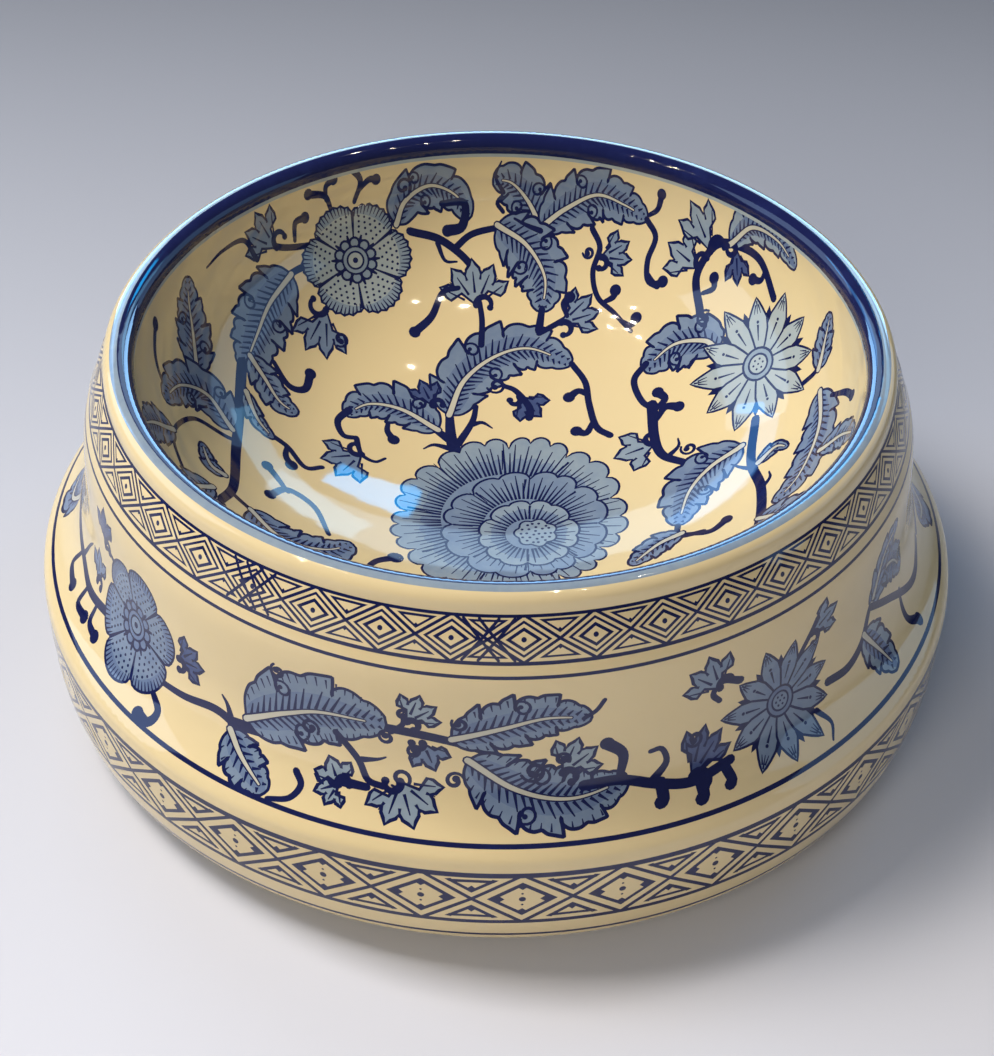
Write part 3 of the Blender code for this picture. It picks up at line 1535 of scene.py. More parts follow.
@dataclass(frozen=True)
class StudioPaperWithPaintedShade:
    """The matt paper under and behind the bowl; its colour is darkened towards the back, painted shade for
    the light falling off there.
    """

    name: str = "studio_paper_painted_shade"
    near: Point3 = (0.74, 0.75, 0.82)
    # far is painted shade: the paper's own colour made dark towards the back, where the light falls off
    far: Point3 = (0.090, 0.096, 0.109)
    painted_shade_start_y: float = -0.30
    painted_shade_full_y: float = 0.55
    roughness: float = 0.9

    def build(self) -> bpy.types.Material:
        """Make the material.

        Returns:
            The paper.
        """
        bench = FinishBench(self.name)
        split = bench.node("SeparateXYZ")
        bench.link(bench.place, split.inputs[0])
        # painted shade: the colour blends from the near one to the far one along y, darker towards the back
        reach = bench.node("MapRange", From_Min=self.painted_shade_start_y, From_Max=self.painted_shade_full_y)
        bench.link(split.outputs["Y"], reach.inputs["Value"])
        colour = bench.blend(reach.outputs["Result"], self.near, self.far)
        return bench.finish(colour, Roughness=self.roughness, Specular_IOR_Level=0.0)


# ---------------------------------------------------------------- the bowl's pieces


@dataclass
class BowlSizes:
    """The bowl's measures in millimetres; the lip radius, crest, ridge radius and seam are worked out from
    the frame's boxes.
    """

    lip_radius: float
    crest: float
    ridge_radius: float
    seam: float
    roll_width: float = 7.9
    roll_rise: float = 3.7
    skirt: float = 1.85
    depth: float = 60.9
    fullness: float = 2.2
    wall: float = 4.5
    basin_wall: float = 4.0

    @classmethod
    def from_frame(cls) -> BowlSizes:
        """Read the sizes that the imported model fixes.

        Returns:
            The sizes.
        """
        half_seam = 0.15
        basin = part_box("basin")
        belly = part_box("belly_wall")
        return cls(
            lip_radius=basin[1][0] / MM,
            crest=basin[1][2] / MM,
            ridge_radius=belly[1][0] / MM,
            seam=belly[1][2] / MM + half_seam,
        )

    @property
    def lip_height(self) -> float:
        """The height where the lip is widest."""
        return self.crest - self.roll_rise

    @property
    def lip_underside(self) -> float:
        """The height where the lip meets the collar."""
        return self.lip_height - self.skirt


@dataclass
class Basin:
    """The basin with its rolled lip, and the painting inside it."""

    sizes: BowlSizes
    glaze: bpy.types.Material

    def superellipse(self, radius: float, depth: float, top: float, steps: int) -> np.ndarray:
        """A quarter superellipse from the axis up to the wall's edge.

        Args:
            radius: its radius at the top.
            depth: its depth.
            top: its top edge's height.
            steps: how many steps it has.

        Returns:
            Radius and height of its points, without the top one.
        """
        power = 2 / self.sizes.fullness
        turn = 0.5 * math.pi * np.arange(steps) / steps
        return np.column_stack((radius * np.sin(turn) ** power, top - depth * np.cos(turn) ** power))

    def section(self) -> Profile:
        """The visible section: the inside, over the lip and down its outside.

        Returns:
            The section.
        """
        sizes = self.sizes
        half = 0.5 * sizes.roll_width
        inner = sizes.lip_radius - sizes.roll_width
        inside = self.superellipse(inner, sizes.depth, sizes.lip_height, INSIDE_STEPS)
        turn = np.linspace(math.pi, 0.0, 60)
        crest = sizes.lip_height + sizes.roll_rise * np.sin(turn)
        roll = np.column_stack((inner + half + half * np.cos(turn), crest))
        halfway = (sizes.lip_radius, sizes.lip_height - 0.5 * sizes.skirt)
        return Profile(np.vstack((inside, roll, halfway, (sizes.lip_radius, sizes.lip_underside))))

    def back(self) -> np.ndarray:
        """The hidden section: the lip's underside and the basin's outside, down to the axis.

        Returns:
            Radius and height of its points.
        """
        sizes = self.sizes
        outer = sizes.lip_radius - sizes.roll_width + sizes.basin_wall
        shell = self.superellipse(outer, sizes.depth + sizes.wall - sizes.skirt, sizes.lip_underside, 16)
        shell[0, 0] = 0.0
        rim = as_array(((sizes.lip_radius, sizes.lip_underside), (outer, sizes.lip_underside)))
        return np.vstack((rim, shell[::-1]))

    def build(self) -> bpy.types.Object:
        """Make the basin and ride it on the bowl.

        Returns:
            The basin.
        """
        chart = DiscChart(self.section())
        art = BasinPainting(chart).paint()
        piece = PaintedShell("basin_glazed", chart, self.back(), art).build()
        piece.data.materials.append(self.glaze)
        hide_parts("basin")
        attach(piece, "root")
        return piece


# The stem and leaves that rise from the peony.
PEONY_VINE = (
    Stem(((-12, 24), (-14, 31), (-15, 42)), 2.6, 1.5),
    Stem(((-13, 29), (-20, 35), (-26, 39)), 1.8, 1.2),
    Leaf(((-18, 34), (-29, 40), (-39, 40), (-46, 34)), 6.0, 8.5, 4),
    Stem(((-45, 36), (-48, 31), (-46, 26), (-42, 26)), 1.6, 1.0),
    Fan((-40, 20), (-49, 12), 66, 4),
    Stem(((-42, 26), (-40, 20), (-36, 18), (-33, 20)), 1.2, 0.7),
    Sprout(((-33, 34), (-33, 31), (-31, 28)), 0.9, 1.3),
    Leaf(((-15, 40), (-11, 53), (-2, 62), (9, 65), (22, 59)), 10.0, 9.0, 5),
    Volute((-1, 52), 3.0, 200),
    Fan((-20, 43), (-24, 51), 48, 3, Tone.DEEP),
    Stem(((-12, 29), (-8, 38), (-7, 44)), 1.6, 1.0),
    Stem(((-8, 37), (-5, 38), (-2, 36)), 1.2, 0.4),
    Stem(((-14, 27), (-19, 28), (-22, 26)), 1.4, 0.4),
    Stem(((22, 59), (26, 52), (27, 44), (29, 35), (33, 31)), 1.2, 1.4),
    Sprout(((27, 47), (24, 49), (21, 47)), 1.1, 1.5),
    Sprout(((28, 37), (26, 33), (23, 34)), 1.1, 1.5),
    Fan((6, 48), (12, 41), 58, 3, Tone.DEEP),
    Stem(((1, 52), (5, 50), (9, 44), (9, 40)), 1.0, 1.6),
)

# The blossom's sprigs on the left wall, and the long stem below them.
LEFT_VINE = (
    Sprout(((-54, 103), (-54, 110), (-60, 113)), 1.1, 1.4),
    Sprout(((-54, 106), (-51, 111), (-48, 112)), 1.0, 1.4),
    Sprout(((-61, 97), (-66, 101), (-73, 99)), 1.1, 1.6),
    Sprout(((-65, 100), (-67, 104), (-65, 107)), 1.0, 1.3),
    Stem(((-66, 85), (-76, 80), (-84, 78)), 1.2, 1.4),
    Fan((-78, 79), (-92, 80), 56, 4),
    Stem(((-84, 72), (-92, 74), (-99, 66), (-103, 57)), 1.3, 0.6),
    Sprout(((-72, 84), (-74, 89), (-71, 92)), 0.9, 1.4),
    Stem(((-60, 78), (-66, 78), (-73, 71)), 1.5, 1.3),
    Leaf(((-70, 74), (-75, 62), (-77, 50), (-79, 36)), 9.5, 10.5, 5),
    Leaf(((-78, 42), (-72, 37), (-66, 31), (-60, 29)), 5.0, 5.5, 3),
    Sprout(((-70, 44), (-64, 38), (-59, 39), (-58, 45)), 1.1, 1.4),
    Stem(((-80, 38), (-78, 20), (-77, 5), (-76, -12), (-79, -22)), 2.4, 1.8),
    Stem(((-78, 30), (-70, 19), (-62, 15), (-56, 9), (-51, 11)), 1.4, 1.0),
    Leaf(((-77, 29), (-72, 21), (-66, 16)), 2.4, 3.4, 2),
    Sprout(((-62, 15), (-62, 11), (-60, 8)), 1.0, 1.7),
    Leaf(((-79, -9), (-84, -8), (-88, -1)), 3.0, 3.0, 2),
    Fan((-56, 68), (-57, 53), 50, 4),
    Volute((-50, 60), 2.6, 250),
    Stem(((-77, -15), (-70, -19), (-62, -22)), 1.2, 0.9),
    Leaf(((-70, -19), (-60, -27), (-48, -26), (-40, -20)), 7.0, 9.5, 4),
    Sprout(((-47, -18), (-52, -7), (-60, -3), (-65, -8)), 1.0, 1.6),
    Sprout(((-60, -4), (-64, 1), (-67, 4)), 0.9, 1.2),
    Leaf(((-94, 24), (-100, 36), (-110, 48)), 8.0, 8.0, 4),
    Sprout(((-104, 6), (-112, 12), (-117, 21)), 0.9, 1.9),
    Leaf(((-79, 12), (-89, 19), (-99, 14), (-104, 2)), 7.5, 8.5, 4),
    Stem(((-79, 8), (-92, 6), (-98, -8), (-92, -22)), 1.0, 1.0),
    Leaf(((-98, -6), (-106, -14), (-112, -26)), 6.5, 6.0, 3),
    Leaf(((-82, -18), (-90, -28), (-92, -42)), 6.0, 6.0, 3),
)

# The leaves on the far wall.
FAR_VINE = (
    Stem(((-32, 99), (-21, 98), (-11, 92), (-7, 84)), 1.6, 1.5),
    Stem(((-16, 96), (-10, 101), (2, 104)), 1.4, 1.2),
    Stem(((-22, 97), (-19, 92), (-15, 92)), 1.1, 0.5),
    Leaf(((-37, 100), (-35, 108), (-27, 114), (-17, 112), (-12, 105)), 7.5, 7.5, 3),
    Volute((-37, 112), 3.4, 300),
    Sprout(((-22, 109), (-14, 110), (-14, 103), (-19, 101)), 1.4, 1.2),
    Fan((-8, 79), (-10, 92), 76, 5, Tone.SOFT),
    Sprout(((-14, 84), (-19, 82), (-22, 74), (-27, 68)), 1.1, 1.4),
    Stem(((-7, 80), (-6, 74), (-6, 66)), 1.1, 1.3),
    Stem(((12, 104), (9, 110), (3, 114), (-2, 111), (0, 108)), 1.5, 0.9),
    Leaf(((13, 103), (9, 111), (3, 117), (-4, 118)), 7.5, 9.0, 3),
    Stem(((0, 114), (-3, 119), (-1, 124)), 1.0, 0.5),
    Leaf(((13, 103), (22, 108), (34, 111), (44, 106), (51, 100)), 9.0, 8.0, 5),
    Stem(((51, 100), (53, 94), (49, 88), (48, 82), (51, 79)), 1.3, 1.2),
    Sprout(((52, 101), (56, 102), (59, 106)), 0.9, 1.4),
    Sprout(((48, 84), (50, 80), (53, 80)), 1.1, 1.6),
    Leaf(((-2, 104), (8, 98), (14, 88), (13, 77)), 9.0, 10.0, 5),
    Stem(((13, 102), (8, 104), (4, 106)), 1.2, 0.6),
    Stem(((13, 78), (12, 71)), 1.3, 1.7),
    Stem(((12, 70), (20, 74), (26, 77)), 1.2, 1.2),
    Fan((19, 73), (30, 78), 54, 4),
    Sprout(((21, 75), (20, 79), (22, 81)), 0.9, 1.3),
    Stem(((31, 101), (33, 95), (30, 88), (31, 80), (36, 74), (41, 67)), 1.3, 0.9),
    Fan((33, 92), (43, 92), 60, 4),
    Sprout(((33, 78), (36, 79), (37, 81)), 0.9, 1.6),
    Sprout(((38, 71), (41, 69), (43, 71)), 0.9, 1.4),
    Volute((29, 94), 2.0, 180),
)

# The star blossom's arch, leaves and stem on the right wall.
RIGHT_VINE = (
    Stem(((64, 66), (65, 78), (74, 84), (82, 81), (90, 72), (91, 58)), 1.8, 1.6),
    Fan((66, 80), (58, 90), 50, 3, Tone.SOFT),
    Fan((72, 83), (70, 99), 40, 3, Tone.SOFT),
    Leaf(((80, 82), (92, 82), (101, 72), (104, 60)), 8.0, 5.0, 4, Tone.SOFT),
    Fan((82, 80), (79, 70), 40, 3, Tone.DEEP),
    Sprout(((66, 72), (70, 72), (71, 75)), 1.0, 1.2),
    Sprout(((91, 68), (88, 66), (85, 68)), 1.0, 1.2),
    Leaf(((68, 52), (64, 57), (54, 59), (44, 53)), 9.0, 8.0, 4),
    Volute((65, 64), 2.8, 40),
    Stem(((45, 55), (41, 50), (43, 42), (47, 38)), 1.4, 1.2),
    Stem(((46, 40), (46, 28), (48, 20), (54, 15)), 2.2, 1.6),
    Sprout(((47, 38), (50, 41), (48, 44)), 1.2, 1.5),
    Sprout(((47, 34), (50, 38), (54, 37)), 1.2, 1.5),
    Fan((46, 25), (35, 22), 60, 3, Tone.SOFT),
    Stem(((50, 19), (53, 22), (53, 25)), 1.2, 0.4),
    Leaf(((72, 14), (62, 10), (55, 2), (51, -12)), 8.0, 9.0, 4),
    Volute((56, 20), 2.6, 150),
    Stem(((51, -12), (51, -17), (58, -18)), 1.2, 1.3),
    Sprout(((53, -17), (60, -19), (65, -16)), 1.1, 1.4),
    Leaf(((52, -16), (45, -19), (37, -27)), 4.5, 4.5, 3),
    Stem(((77, 22), (74, 6), (76, -8), (74, -26), (68, -40)), 1.8, 2.2),
    Stem(((75, 2), (71, 5), (68, 8)), 1.3, 0.4),
    Stem(((76, -8), (79, -5), (79, -2)), 1.3, 0.4),
    Leaf(((76, 4), (82, 7), (86, 4)), 2.4, 2.4, 2),
    Stem(((94, 24), (101, 25), (104, 34)), 1.2, 1.2),
    Leaf(((101, 24), (107, 31), (113, 36)), 5.0, 4.5, 3),
    Leaf(((100, 16), (97, 2), (88, -12), (79, -18)), 8.0, 6.5, 4),
    Sprout(((104, 10), (110, 4), (113, -2)), 1.1, 1.2),
    Leaf(((96, -8), (105, -12), (112, -22)), 5.0, 5.0, 3),
    Leaf(((74, -22), (84, -28), (92, -40)), 7.0, 6.0, 4),
)

# The vine on the near wall, which closes the ring of flowers.
NEAR_VINE = (
    Sprout(((-36, -31), (-33, -26), (-28, -23)), 1.1, 2.0),
    Stem(((-79, -24), (-74, -44), (-60, -62), (-40, -74)), 2.2, 1.8),
    Leaf(((-66, -54), (-78, -62), (-84, -76)), 8.0, 8.0, 4),
    Leaf(((-56, -64), (-46, -54), (-34, -50), (-22, -54)), 8.0, 8.0, 5),
    Volute((-47, -61), 2.8, 60),
    Sprout(((-44, -74), (-50, -82), (-58, -86)), 1.1, 1.5),
    Stem(((-40, -74), (-22, -82), (-4, -84)), 1.8, 1.5),
    Fan((-28, -80), (-30, -97), 60, 4),
    Leaf(((-10, -83), (-16, -95), (-30, -108)), 7.0, 6.5, 4),
    Leaf(((2, -84), (16, -76), (32, -76), (44, -84)), 9.0, 8.0, 5),
    Stem(((-4, -84), (16, -92), (34, -88), (52, -74), (66, -56), (68, -40)), 1.6, 2.0),
    Leaf(((58, -66), (70, -70), (80, -64), (88, -52)), 7.0, 8.0, 4),
    Sprout(((40, -84), (46, -94), (42, -102)), 1.1, 1.5),
    Sprout(((22, -91), (22, -100), (16, -104)), 1.1, 1.5),
    Fan((52, -74), (62, -90), 56, 4),
    Sprout(((56, -70), (48, -64), (42, -66)), 1.1, 1.5),
    Leaf(((64, -52), (52, -46), (42, -50)), 5.0, 5.0, 3),
)


@dataclass
class BasinPainting:
    """The scrolling flowers inside the basin; places are chart millimetres, y to the back."""

    chart: DiscChart

    def stretch_at(self, art: Painting, centre: Point) -> None:
        """Stretch what follows so that it keeps its shape this far up the wall.

        Args:
            art: the painting.
            centre: the motif's middle.
        """
        along = math.hypot(*centre)
        radius = float(self.chart.profile.place(np.array([along]))[0][0])
        art.pivot = np.array(centre, dtype=float)
        art.turn = math.atan2(centre[1], centre[0])
        art.scale = np.array((1.0, along / radius))

    def paint(self) -> Painting:
        """Paint every motif.

        Returns:
            The painting.
        """
        art = Painting()
        for motif in PEONY_VINE + LEFT_VINE + FAR_VINE + RIGHT_VINE + NEAR_VINE:
            motif.paint(art)
        for blossom in (SixPetalBlossom((-49, 86), 17.5, 0.35), StarBlossom((80.5, 41), 22.0, 0.2)):
            self.stretch_at(art, blossom.centre)
            blossom.paint(art)
        art.scale = np.ones(2)
        self.peony().paint(art)
        self.rim_bands(art)
        return art

    def peony(self) -> Peony:
        """The peony in the middle of the floor.

        Returns:
            The peony.
        """
        rows = (
            PetalRow((3.5, -2.0), 34.5, 20.5, 9, 3, 104, Tone.SOFT, 0.25),
            PetalRow((8.0, -5.0), 24.0, 13.0, 8, 2, 70, Tone.WASH),
            PetalRow((9.0, -8.5), 14.8, 7.6, 6, 2, 42, Tone.SOFT, 0.5),
        )
        return Peony(rows, (11.0, -8.0), 6.2)

    def rim_bands(self, art: Painting) -> None:
        """The deep cobalt band round the lip, with its paler edges.

        Args:
            art: the painting.
        """
        wall = float(self.chart.profile.along[INSIDE_STEPS])
        for start, end, tone in ((-2.3, -1.0, Tone.PALE), (5.6, 7.9, Tone.SOFT), (-1.2, 5.8, Tone.LINE)):
            outer = ring((0, 0), wall + end, AROUND)
            art.lay_between(outer, ring((0, 0), wall + start, AROUND), tone)


@dataclass
class OuterWall:
    """What both outer walls share: their sizes, their glaze, and a hidden side that follows the seen one."""

    sizes: BowlSizes
    glaze: bpy.types.Material
    thickening: float = 20.0

    def hidden_side(self, section: Profile, steps: int, top_thickness: float) -> np.ndarray:
        """The inside of the wall, from its foot up; the wall thickens over its first part from the top.

        Args:
            section: the visible section.
            steps: how many points the hidden side has.
            top_thickness: the wall's thickness at its top.

        Returns:
            Radius and height of its points.
        """
        along = np.linspace(section.length, 0.0, steps)
        radius, height = section.place(along)
        facing = section.facing(radius, height)
        depth = np.interp(along, (0.0, self.thickening), (top_thickness, self.sizes.wall))[:, None]
        return np.column_stack((radius, height)) - depth * facing

    def closed(self, section: Profile, inside: np.ndarray) -> np.ndarray:
        """The hidden side with the visible section's two ends, which it is welded to."""
        ends = section.points[[-1, 0]]
        return np.vstack((ends[:1], inside, ends[1:]))


# The frieze's stems and leaves; x round the wall from the front, y above the lower line.
FRIEZE_VINE = (
    Stem(((-94, 14), (-84, 15), (-74, 17), (-67, 16)), 1.0, 1.6),
    Stem(((-68, 16), (-70, 20), (-72, 22)), 1.5, 0.5),
    Stem(((-68, 16), (-53, 19), (-37, 27), (-26, 30), (-8, 28), (5, 23)), 2.0, 1.5),
    Leaf(((-64, 19), (-52, 26), (-42, 30), (-26, 31)), 12.0, 9.5, 3, edged=True),
    Volute((-46, 24), 2.6, 330),
    Volute((-55, 38), 2.2, 120),
    Leaf(((-68, 14), (-63, 9), (-54, 3)), 5.5, 6.0, 3, edged=True),
    Stem(((-53, 2), (-48, 4), (-46, 8), (-48, 11)), 0.8, 1.2),
    Stem(((-39, 25), (-33, 19), (-30, 14), (-26, 13)), 1.2, 1.1),
    Volute((-22, 16), 3.0, 230),
    Stem(((-32, 19), (-28, 20), (-26, 21)), 1.1, 0.4),
    Fan((-37, 11), (-42, 8), 95, 5, Tone.SOFT),
    Fan((-37, 11), (-40, 17), 70, 3, Tone.SOFT),
    Fan((-22, 15), (-18, 5), 85, 5, Tone.SOFT),
    Stem(((-36, 12), (-33, 12), (-30, 12)), 1.6, 1.3),
    Stem(((-25, 29), (-22, 32), (-22, 35)), 1.1, 0.8),
    Volute((-22, 35), 2.2, 270),
    Fan((-21, 33), (-16, 40), 62, 4, Tone.SOFT),
    Volute((-26, 27), 2.2, 90),
    Fan((-17, 27), (-14, 20), 60, 3, Tone.MID),
    Volute((-19, 24), 2.0, 60),
    Leaf(((-10, 29), (2, 33), (13, 36), (24, 35)), 8.5, 6.5, 4, edged=True),
    Stem(((22, 35), (25, 37), (27, 40)), 0.8, 0.8),
    Volute((-8, 34), 2.2, 150),
    Leaf(((-6, 23), (6, 15), (19, 12), (33, 15)), 9.0, 9.0, 5, edged=True),
    Volute((-9, 17), 2.4, 20),
    Volute((10, 20), 3.2, 200),
    Fan((17, 19), (23, 27), 62, 4, Tone.SOFT),
    Volute((17, 23), 2.0, 330),
    Stem(((22, 15), (31, 15), (40, 12), (49, 10), (60, 12)), 1.8, 1.6),
    Sprout(((31, 16), (32, 22), (28, 26)), 1.4, 1.6),
    Stem(((39, 13), (43, 17), (42, 21), (39, 21)), 1.4, 0.8),
    Stem(((41, 12), (41, 8), (40, 7)), 2.0, 2.0),
    Stem(((51, 10), (51, 6), (50, 5)), 2.0, 2.0),
    Stem(((58, 11), (59, 7), (58, 6)), 1.8, 1.8),
    Fan((49, 11), (56, 22), 44, 4, Tone.DEEP),
    Volute((51, 21), 2.4, 200),
    Stem(((64, 34), (59, 36), (56, 33), (58, 30)), 1.5, 1.0),
    Fan((58, 34), (52, 43), 62, 4),
    Stem(((84, 32), (88, 37), (90, 40)), 1.1, 1.4),
    Fan((88, 36), (97, 40), 50, 3),
    Stem(((88, 12), (91, 7), (89, 3)), 1.1, 0.5),
    Stem(((94, 17), (103, 16), (111, 19), (116, 26)), 1.5, 1.5),
    Leaf(((112, 20), (117, 12), (120, 4)), 6.5, 6.0, 3, Tone.SOFT),
    Leaf(((116, 26), (124, 32), (132, 30), (140, 22)), 6.0, 6.5, 4),
    Leaf(((118, 28), (124, 38), (134, 42)), 4.5, 4.5, 3),
    Stem(((116, 26), (128, 20), (146, 12), (162, 14)), 1.5, 1.3),
    Sprout(((136, 17), (134, 9), (138, 5)), 1.1, 1.5),
    Leaf(((-172, 14), (-178, 8), (-188, 10)), 5.0, 5.5, 3),
    Leaf(((-164, 18), (-172, 26), (-184, 30)), 6.0, 5.0, 4),
    Stem(((-196, 14), (-176, 16), (-160, 16), (-146, 15), (-134, 13), (-122, 15)), 1.3, 1.7),
    Sprout(((-148, 15), (-150, 9), (-143, 7)), 1.0, 1.4),
    Sprout(((-136, 13), (-136, 7), (-130, 7)), 1.0, 1.3),
    Sprout(((-128, 13), (-127, 8), (-122, 7)), 1.0, 1.2),
    Stem(((-146, 16), (-143, 21), (-140, 24)), 1.3, 0.5),
    Fan((-132, 18), (-133, 27), 55, 3, Tone.MID),
    Fan((-127, 34), (-128, 44), 52, 3, Tone.DEEP),
    Stem(((-118, 32), (-124, 34), (-127, 33)), 1.0, 1.0),
    Fan((-88, 24), (-80, 28), 64, 4, Tone.DEEP),
    Sprout(((-94, 10), (-90, 7), (-91, 3), (-95, 3)), 1.2, 1.3),
)


@dataclass
class UpperWall(OuterWall):
    """Collar, waist and flared shoulder, with the fine border and the flowered frieze."""

    per_degree: float = 2.0
    top_thickness: float = 2.7
    collar_diamonds: int = 40
    overlaps: tuple[float, ...] = (-33.0, -1.0, 118.0, -148.0)
    frieze_foot: float = 64.2
    deeper: ClassVar[dict[float, float]] = {
        Tone.HINT.value: Tone.WASH.value,
        Tone.PALE.value: Tone.WASH.value,
        Tone.SOFT.value: Tone.MID.value,
    }

    def section(self) -> Profile:
        """The visible section, from under the lip down to the ridge's seam.

        Returns:
            The section.
        """
        top, ridge = self.sizes.lip_underside, self.sizes.ridge_radius
        points = (
            (self.sizes.lip_radius, top),
            (107.6, 96.0),
            (109.7, 89.6),
            (111.1, 86.2),
            (112.1, 81.0),
            (112.8, 71.5),
            (113.9, 61.0),
            (116.6, 52.5),
            (120.8, 46.3),
            (124.8, 42.5),
            (127.1, 40.0),
            (ridge, self.sizes.seam),
        )
        return Profile(curve_through(points))

    def back(self, section: Profile) -> np.ndarray:
        """The hidden section, from the seam back up inside to the lip.

        Args:
            section: the visible section.

        Returns:
            Radius and height of its points.
        """
        inside = self.hidden_side(section, 22, self.top_thickness)
        radius, height = section.place(np.array((section.length, 0.0)))
        inside[0] = (radius[0] - self.sizes.wall, height[0])
        inside[-1] = (radius[1] - self.top_thickness, height[1])
        return self.closed(section, inside)

    def build(self) -> bpy.types.Object:
        """Make the wall and ride it on the bowl.

        Returns:
            The wall.
        """
        section = self.section()
        chart = BandChart(section, self.per_degree, self.frieze_foot)
        art = Painting()
        self.paint_borders(art, chart)
        for half_turn in (-1.0, 0.0, 1.0):
            self.paint_frieze(art, half_turn * 0.5 * chart.circumference)
        piece = PaintedShell("upper_wall_glazed", chart, self.back(section), art).build()
        piece.data.materials.append(self.glaze)
        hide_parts("upper_wall")
        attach(piece, "root")
        return piece

    def paint_borders(self, art: Painting, chart: BandChart) -> None:
        """The fine diamonds on the collar, and the ruled lines.

        Args:
            art: the painting.
            chart: the wall's chart.
        """
        top, around = self.frieze_foot, chart.circumference
        DiamondBand(top - 12.1, top - 0.1, around, self.collar_diamonds, Lattice.COLLAR, 7.2).paint(art)
        self.paint_overlaps(art, top)
        for below, width in ((0.35, 0.9), (12.3, 1.0), (15.9, 0.95), (top - 1.1, 1.3)):
            rule(art, chart, top - below, width)

    def paint_overlaps(self, art: Painting, top: float) -> None:
        """The places where two ends of the printed border overlap and its lines cross.

        Args:
            art: the painting.
            top: the border's upper edge, on the chart.
        """
        for degrees in self.overlaps:
            x = degrees * self.per_degree
            for shift in (-1.5, 2.5):
                for rise in (1, -1):
                    low, high = (x + shift - 4.5 * rise, top - 11.5), (x + shift + 4.5 * rise, top - 1.0)
                    art.line(np.array((low, high)), even(0.78))

    def paint_frieze(self, art: Painting, shift: float) -> None:
        """Half of the frieze: two blossoms and the vine that joins them.

        Args:
            art: the painting.
            shift: how far round the half is, in chart millimetres.
        """
        moved = Painting()
        for motif in FRIEZE_VINE:
            motif.paint(moved)
        first_bloom = len(moved.shapes)
        SixPetalBlossom((-107, 22), 17.6, 0.3).paint(moved)
        StarBlossom((77, 21), 18.6, 0.15).paint(moved)
        for index, shape in enumerate(moved.shapes):
            loops = [loop + (shift, 0.0) for loop in shape.loops]
            tone = self.deeper.get(shape.tone, shape.tone) if index >= first_bloom else shape.tone
            art.shapes.append(Shape(loops, tone))


def rule(art: Painting, chart: BandChart, height: float, width: float) -> None:
    """A line ruled right round the shell on the wheel.

    Args:
        art: the painting.
        chart: the shell's chart.
        height: the line's middle, on the chart.
        width: its width.
    """
    half = 0.5 * chart.circumference + 1.0
    x = np.linspace(-half, half, AROUND + 1)
    lower = np.column_stack((x, np.full(x.shape, height - 0.5 * width)))
    art.lay(np.vstack((lower, (lower + (0.0, width))[::-1])), Tone.LINE)


@dataclass
class BellyWall(OuterWall):
    """The belly band and the heel below it, with the bold border."""

    per_degree: float = 2.2
    diamonds: int = 32
    border_top: float = 1.2
    border_foot: float = 19.4
    foot_line: float = 25.9

    def section(self) -> Profile:
        """The visible section, from the ridge's seam to the heel's inner edge.

        Returns:
            The section.
        """
        points = (
            (self.sizes.ridge_radius, self.sizes.seam),
            (127.5, 27.3),
            (127.1, 18.6),
            (126.0, 12.2),
            (124.4, 8.2),
            (120.9, 4.9),
            (115.5, 3.9),
            (111.0, 3.9),
        )
        return Profile(curve_through(points))

    def back(self, section: Profile) -> np.ndarray:
        """The hidden section, from the heel back up inside to the seam.

        Args:
            section: the visible section.

        Returns:
            Radius and height of its points.
        """
        inside = self.hidden_side(section, 14, self.sizes.wall)
        radius, height = section.place(np.array((section.length, 0.0)))
        inside[0] = (radius[0], height[0] + self.sizes.wall)
        inside[-1] = (radius[1] - self.sizes.wall, height[1])
        return self.closed(section, inside)

    def build(self) -> bpy.types.Object:
        """Make the belly and ride it on the bowl.

        Returns:
            The belly.
        """
        section = self.section()
        chart = BandChart(section, self.per_degree, 0.0)
        art = Painting()
        around = chart.circumference
        DiamondBand(-self.border_foot, -self.border_top, around, self.diamonds, Lattice.BELLY, 7.9).paint(art)
        for below, width in ((self.border_top + 0.2, 1.8), (self.border_foot, 1.4), (self.foot_line, 1.1)):
            rule(art, chart, -below, width)
        piece = PaintedShell("belly_wall_glazed", chart, self.back(section), art).build()
        piece.data.materials.append(self.glaze)
        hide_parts("belly_wall")
        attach(piece, "root")
        return piece


@dataclass
class Underside:
    """The base disc with its vent, and the bare foot ring."""

    glaze: bpy.types.Material
    clay: bpy.types.Material
    edge: float = 1.0
    vent: float = 2.5
    foot_width: float = 8.0

    def build(self) -> list[bpy.types.Object]:
        """Turn both pieces and ride them on the bowl.

        Returns:
            The disc and the ring.
        """
        disc_low, disc_high = (np.array(corner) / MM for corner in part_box("base_disc"))
        radius, low, high = disc_high[0], disc_low[2], disc_high[2]
        disc = turn_section(
            "base_disc_glazed",
            as_array(
                (
                    (radius - self.edge, high),
                    (radius, high - self.edge),
                    (radius, low + 0.3 * self.edge),
                    (radius - 0.3 * self.edge, low),
                    (0.5 * radius, low + 0.12),
                    (self.vent + 0.7 * self.edge, low + 0.15),
                    (self.vent, low + self.edge),
                    (self.vent, high - self.edge),
                    (self.vent + self.edge, high),
                )
            ),
            closed=True,
        )
        ring_high = np.array(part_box("foot_ring")[1]) / MM
        outer, top, width = ring_high[0], ring_high[2], self.foot_width
        steps = np.linspace(0.0, 0.5 * math.pi, 5)
        turned_in, risen = self.edge * (1 - np.cos(steps)), self.edge * (1 - np.sin(steps))
        outer_heel = np.column_stack((outer - turned_in, risen))
        inner_heel = outer_heel[::-1] * (-1, 1) + (2 * outer - width, 0.0)
        section = np.vstack(((outer, top), outer_heel, inner_heel, (outer - width - self.edge, top)))
        foot = turn_section("foot_ring_bare", section, closed=True)
        for piece, node, slot, finish in (
            (disc, "base_disc", "glazed_porcelain", self.glaze),
            (foot, "foot_ring", "bare_porcelain", self.clay),
        ):
            piece.data.materials.append(finish)
            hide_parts(node)
            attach(piece, "root")
        return [disc, foot]


# ---------------------------------------------------------------- studio


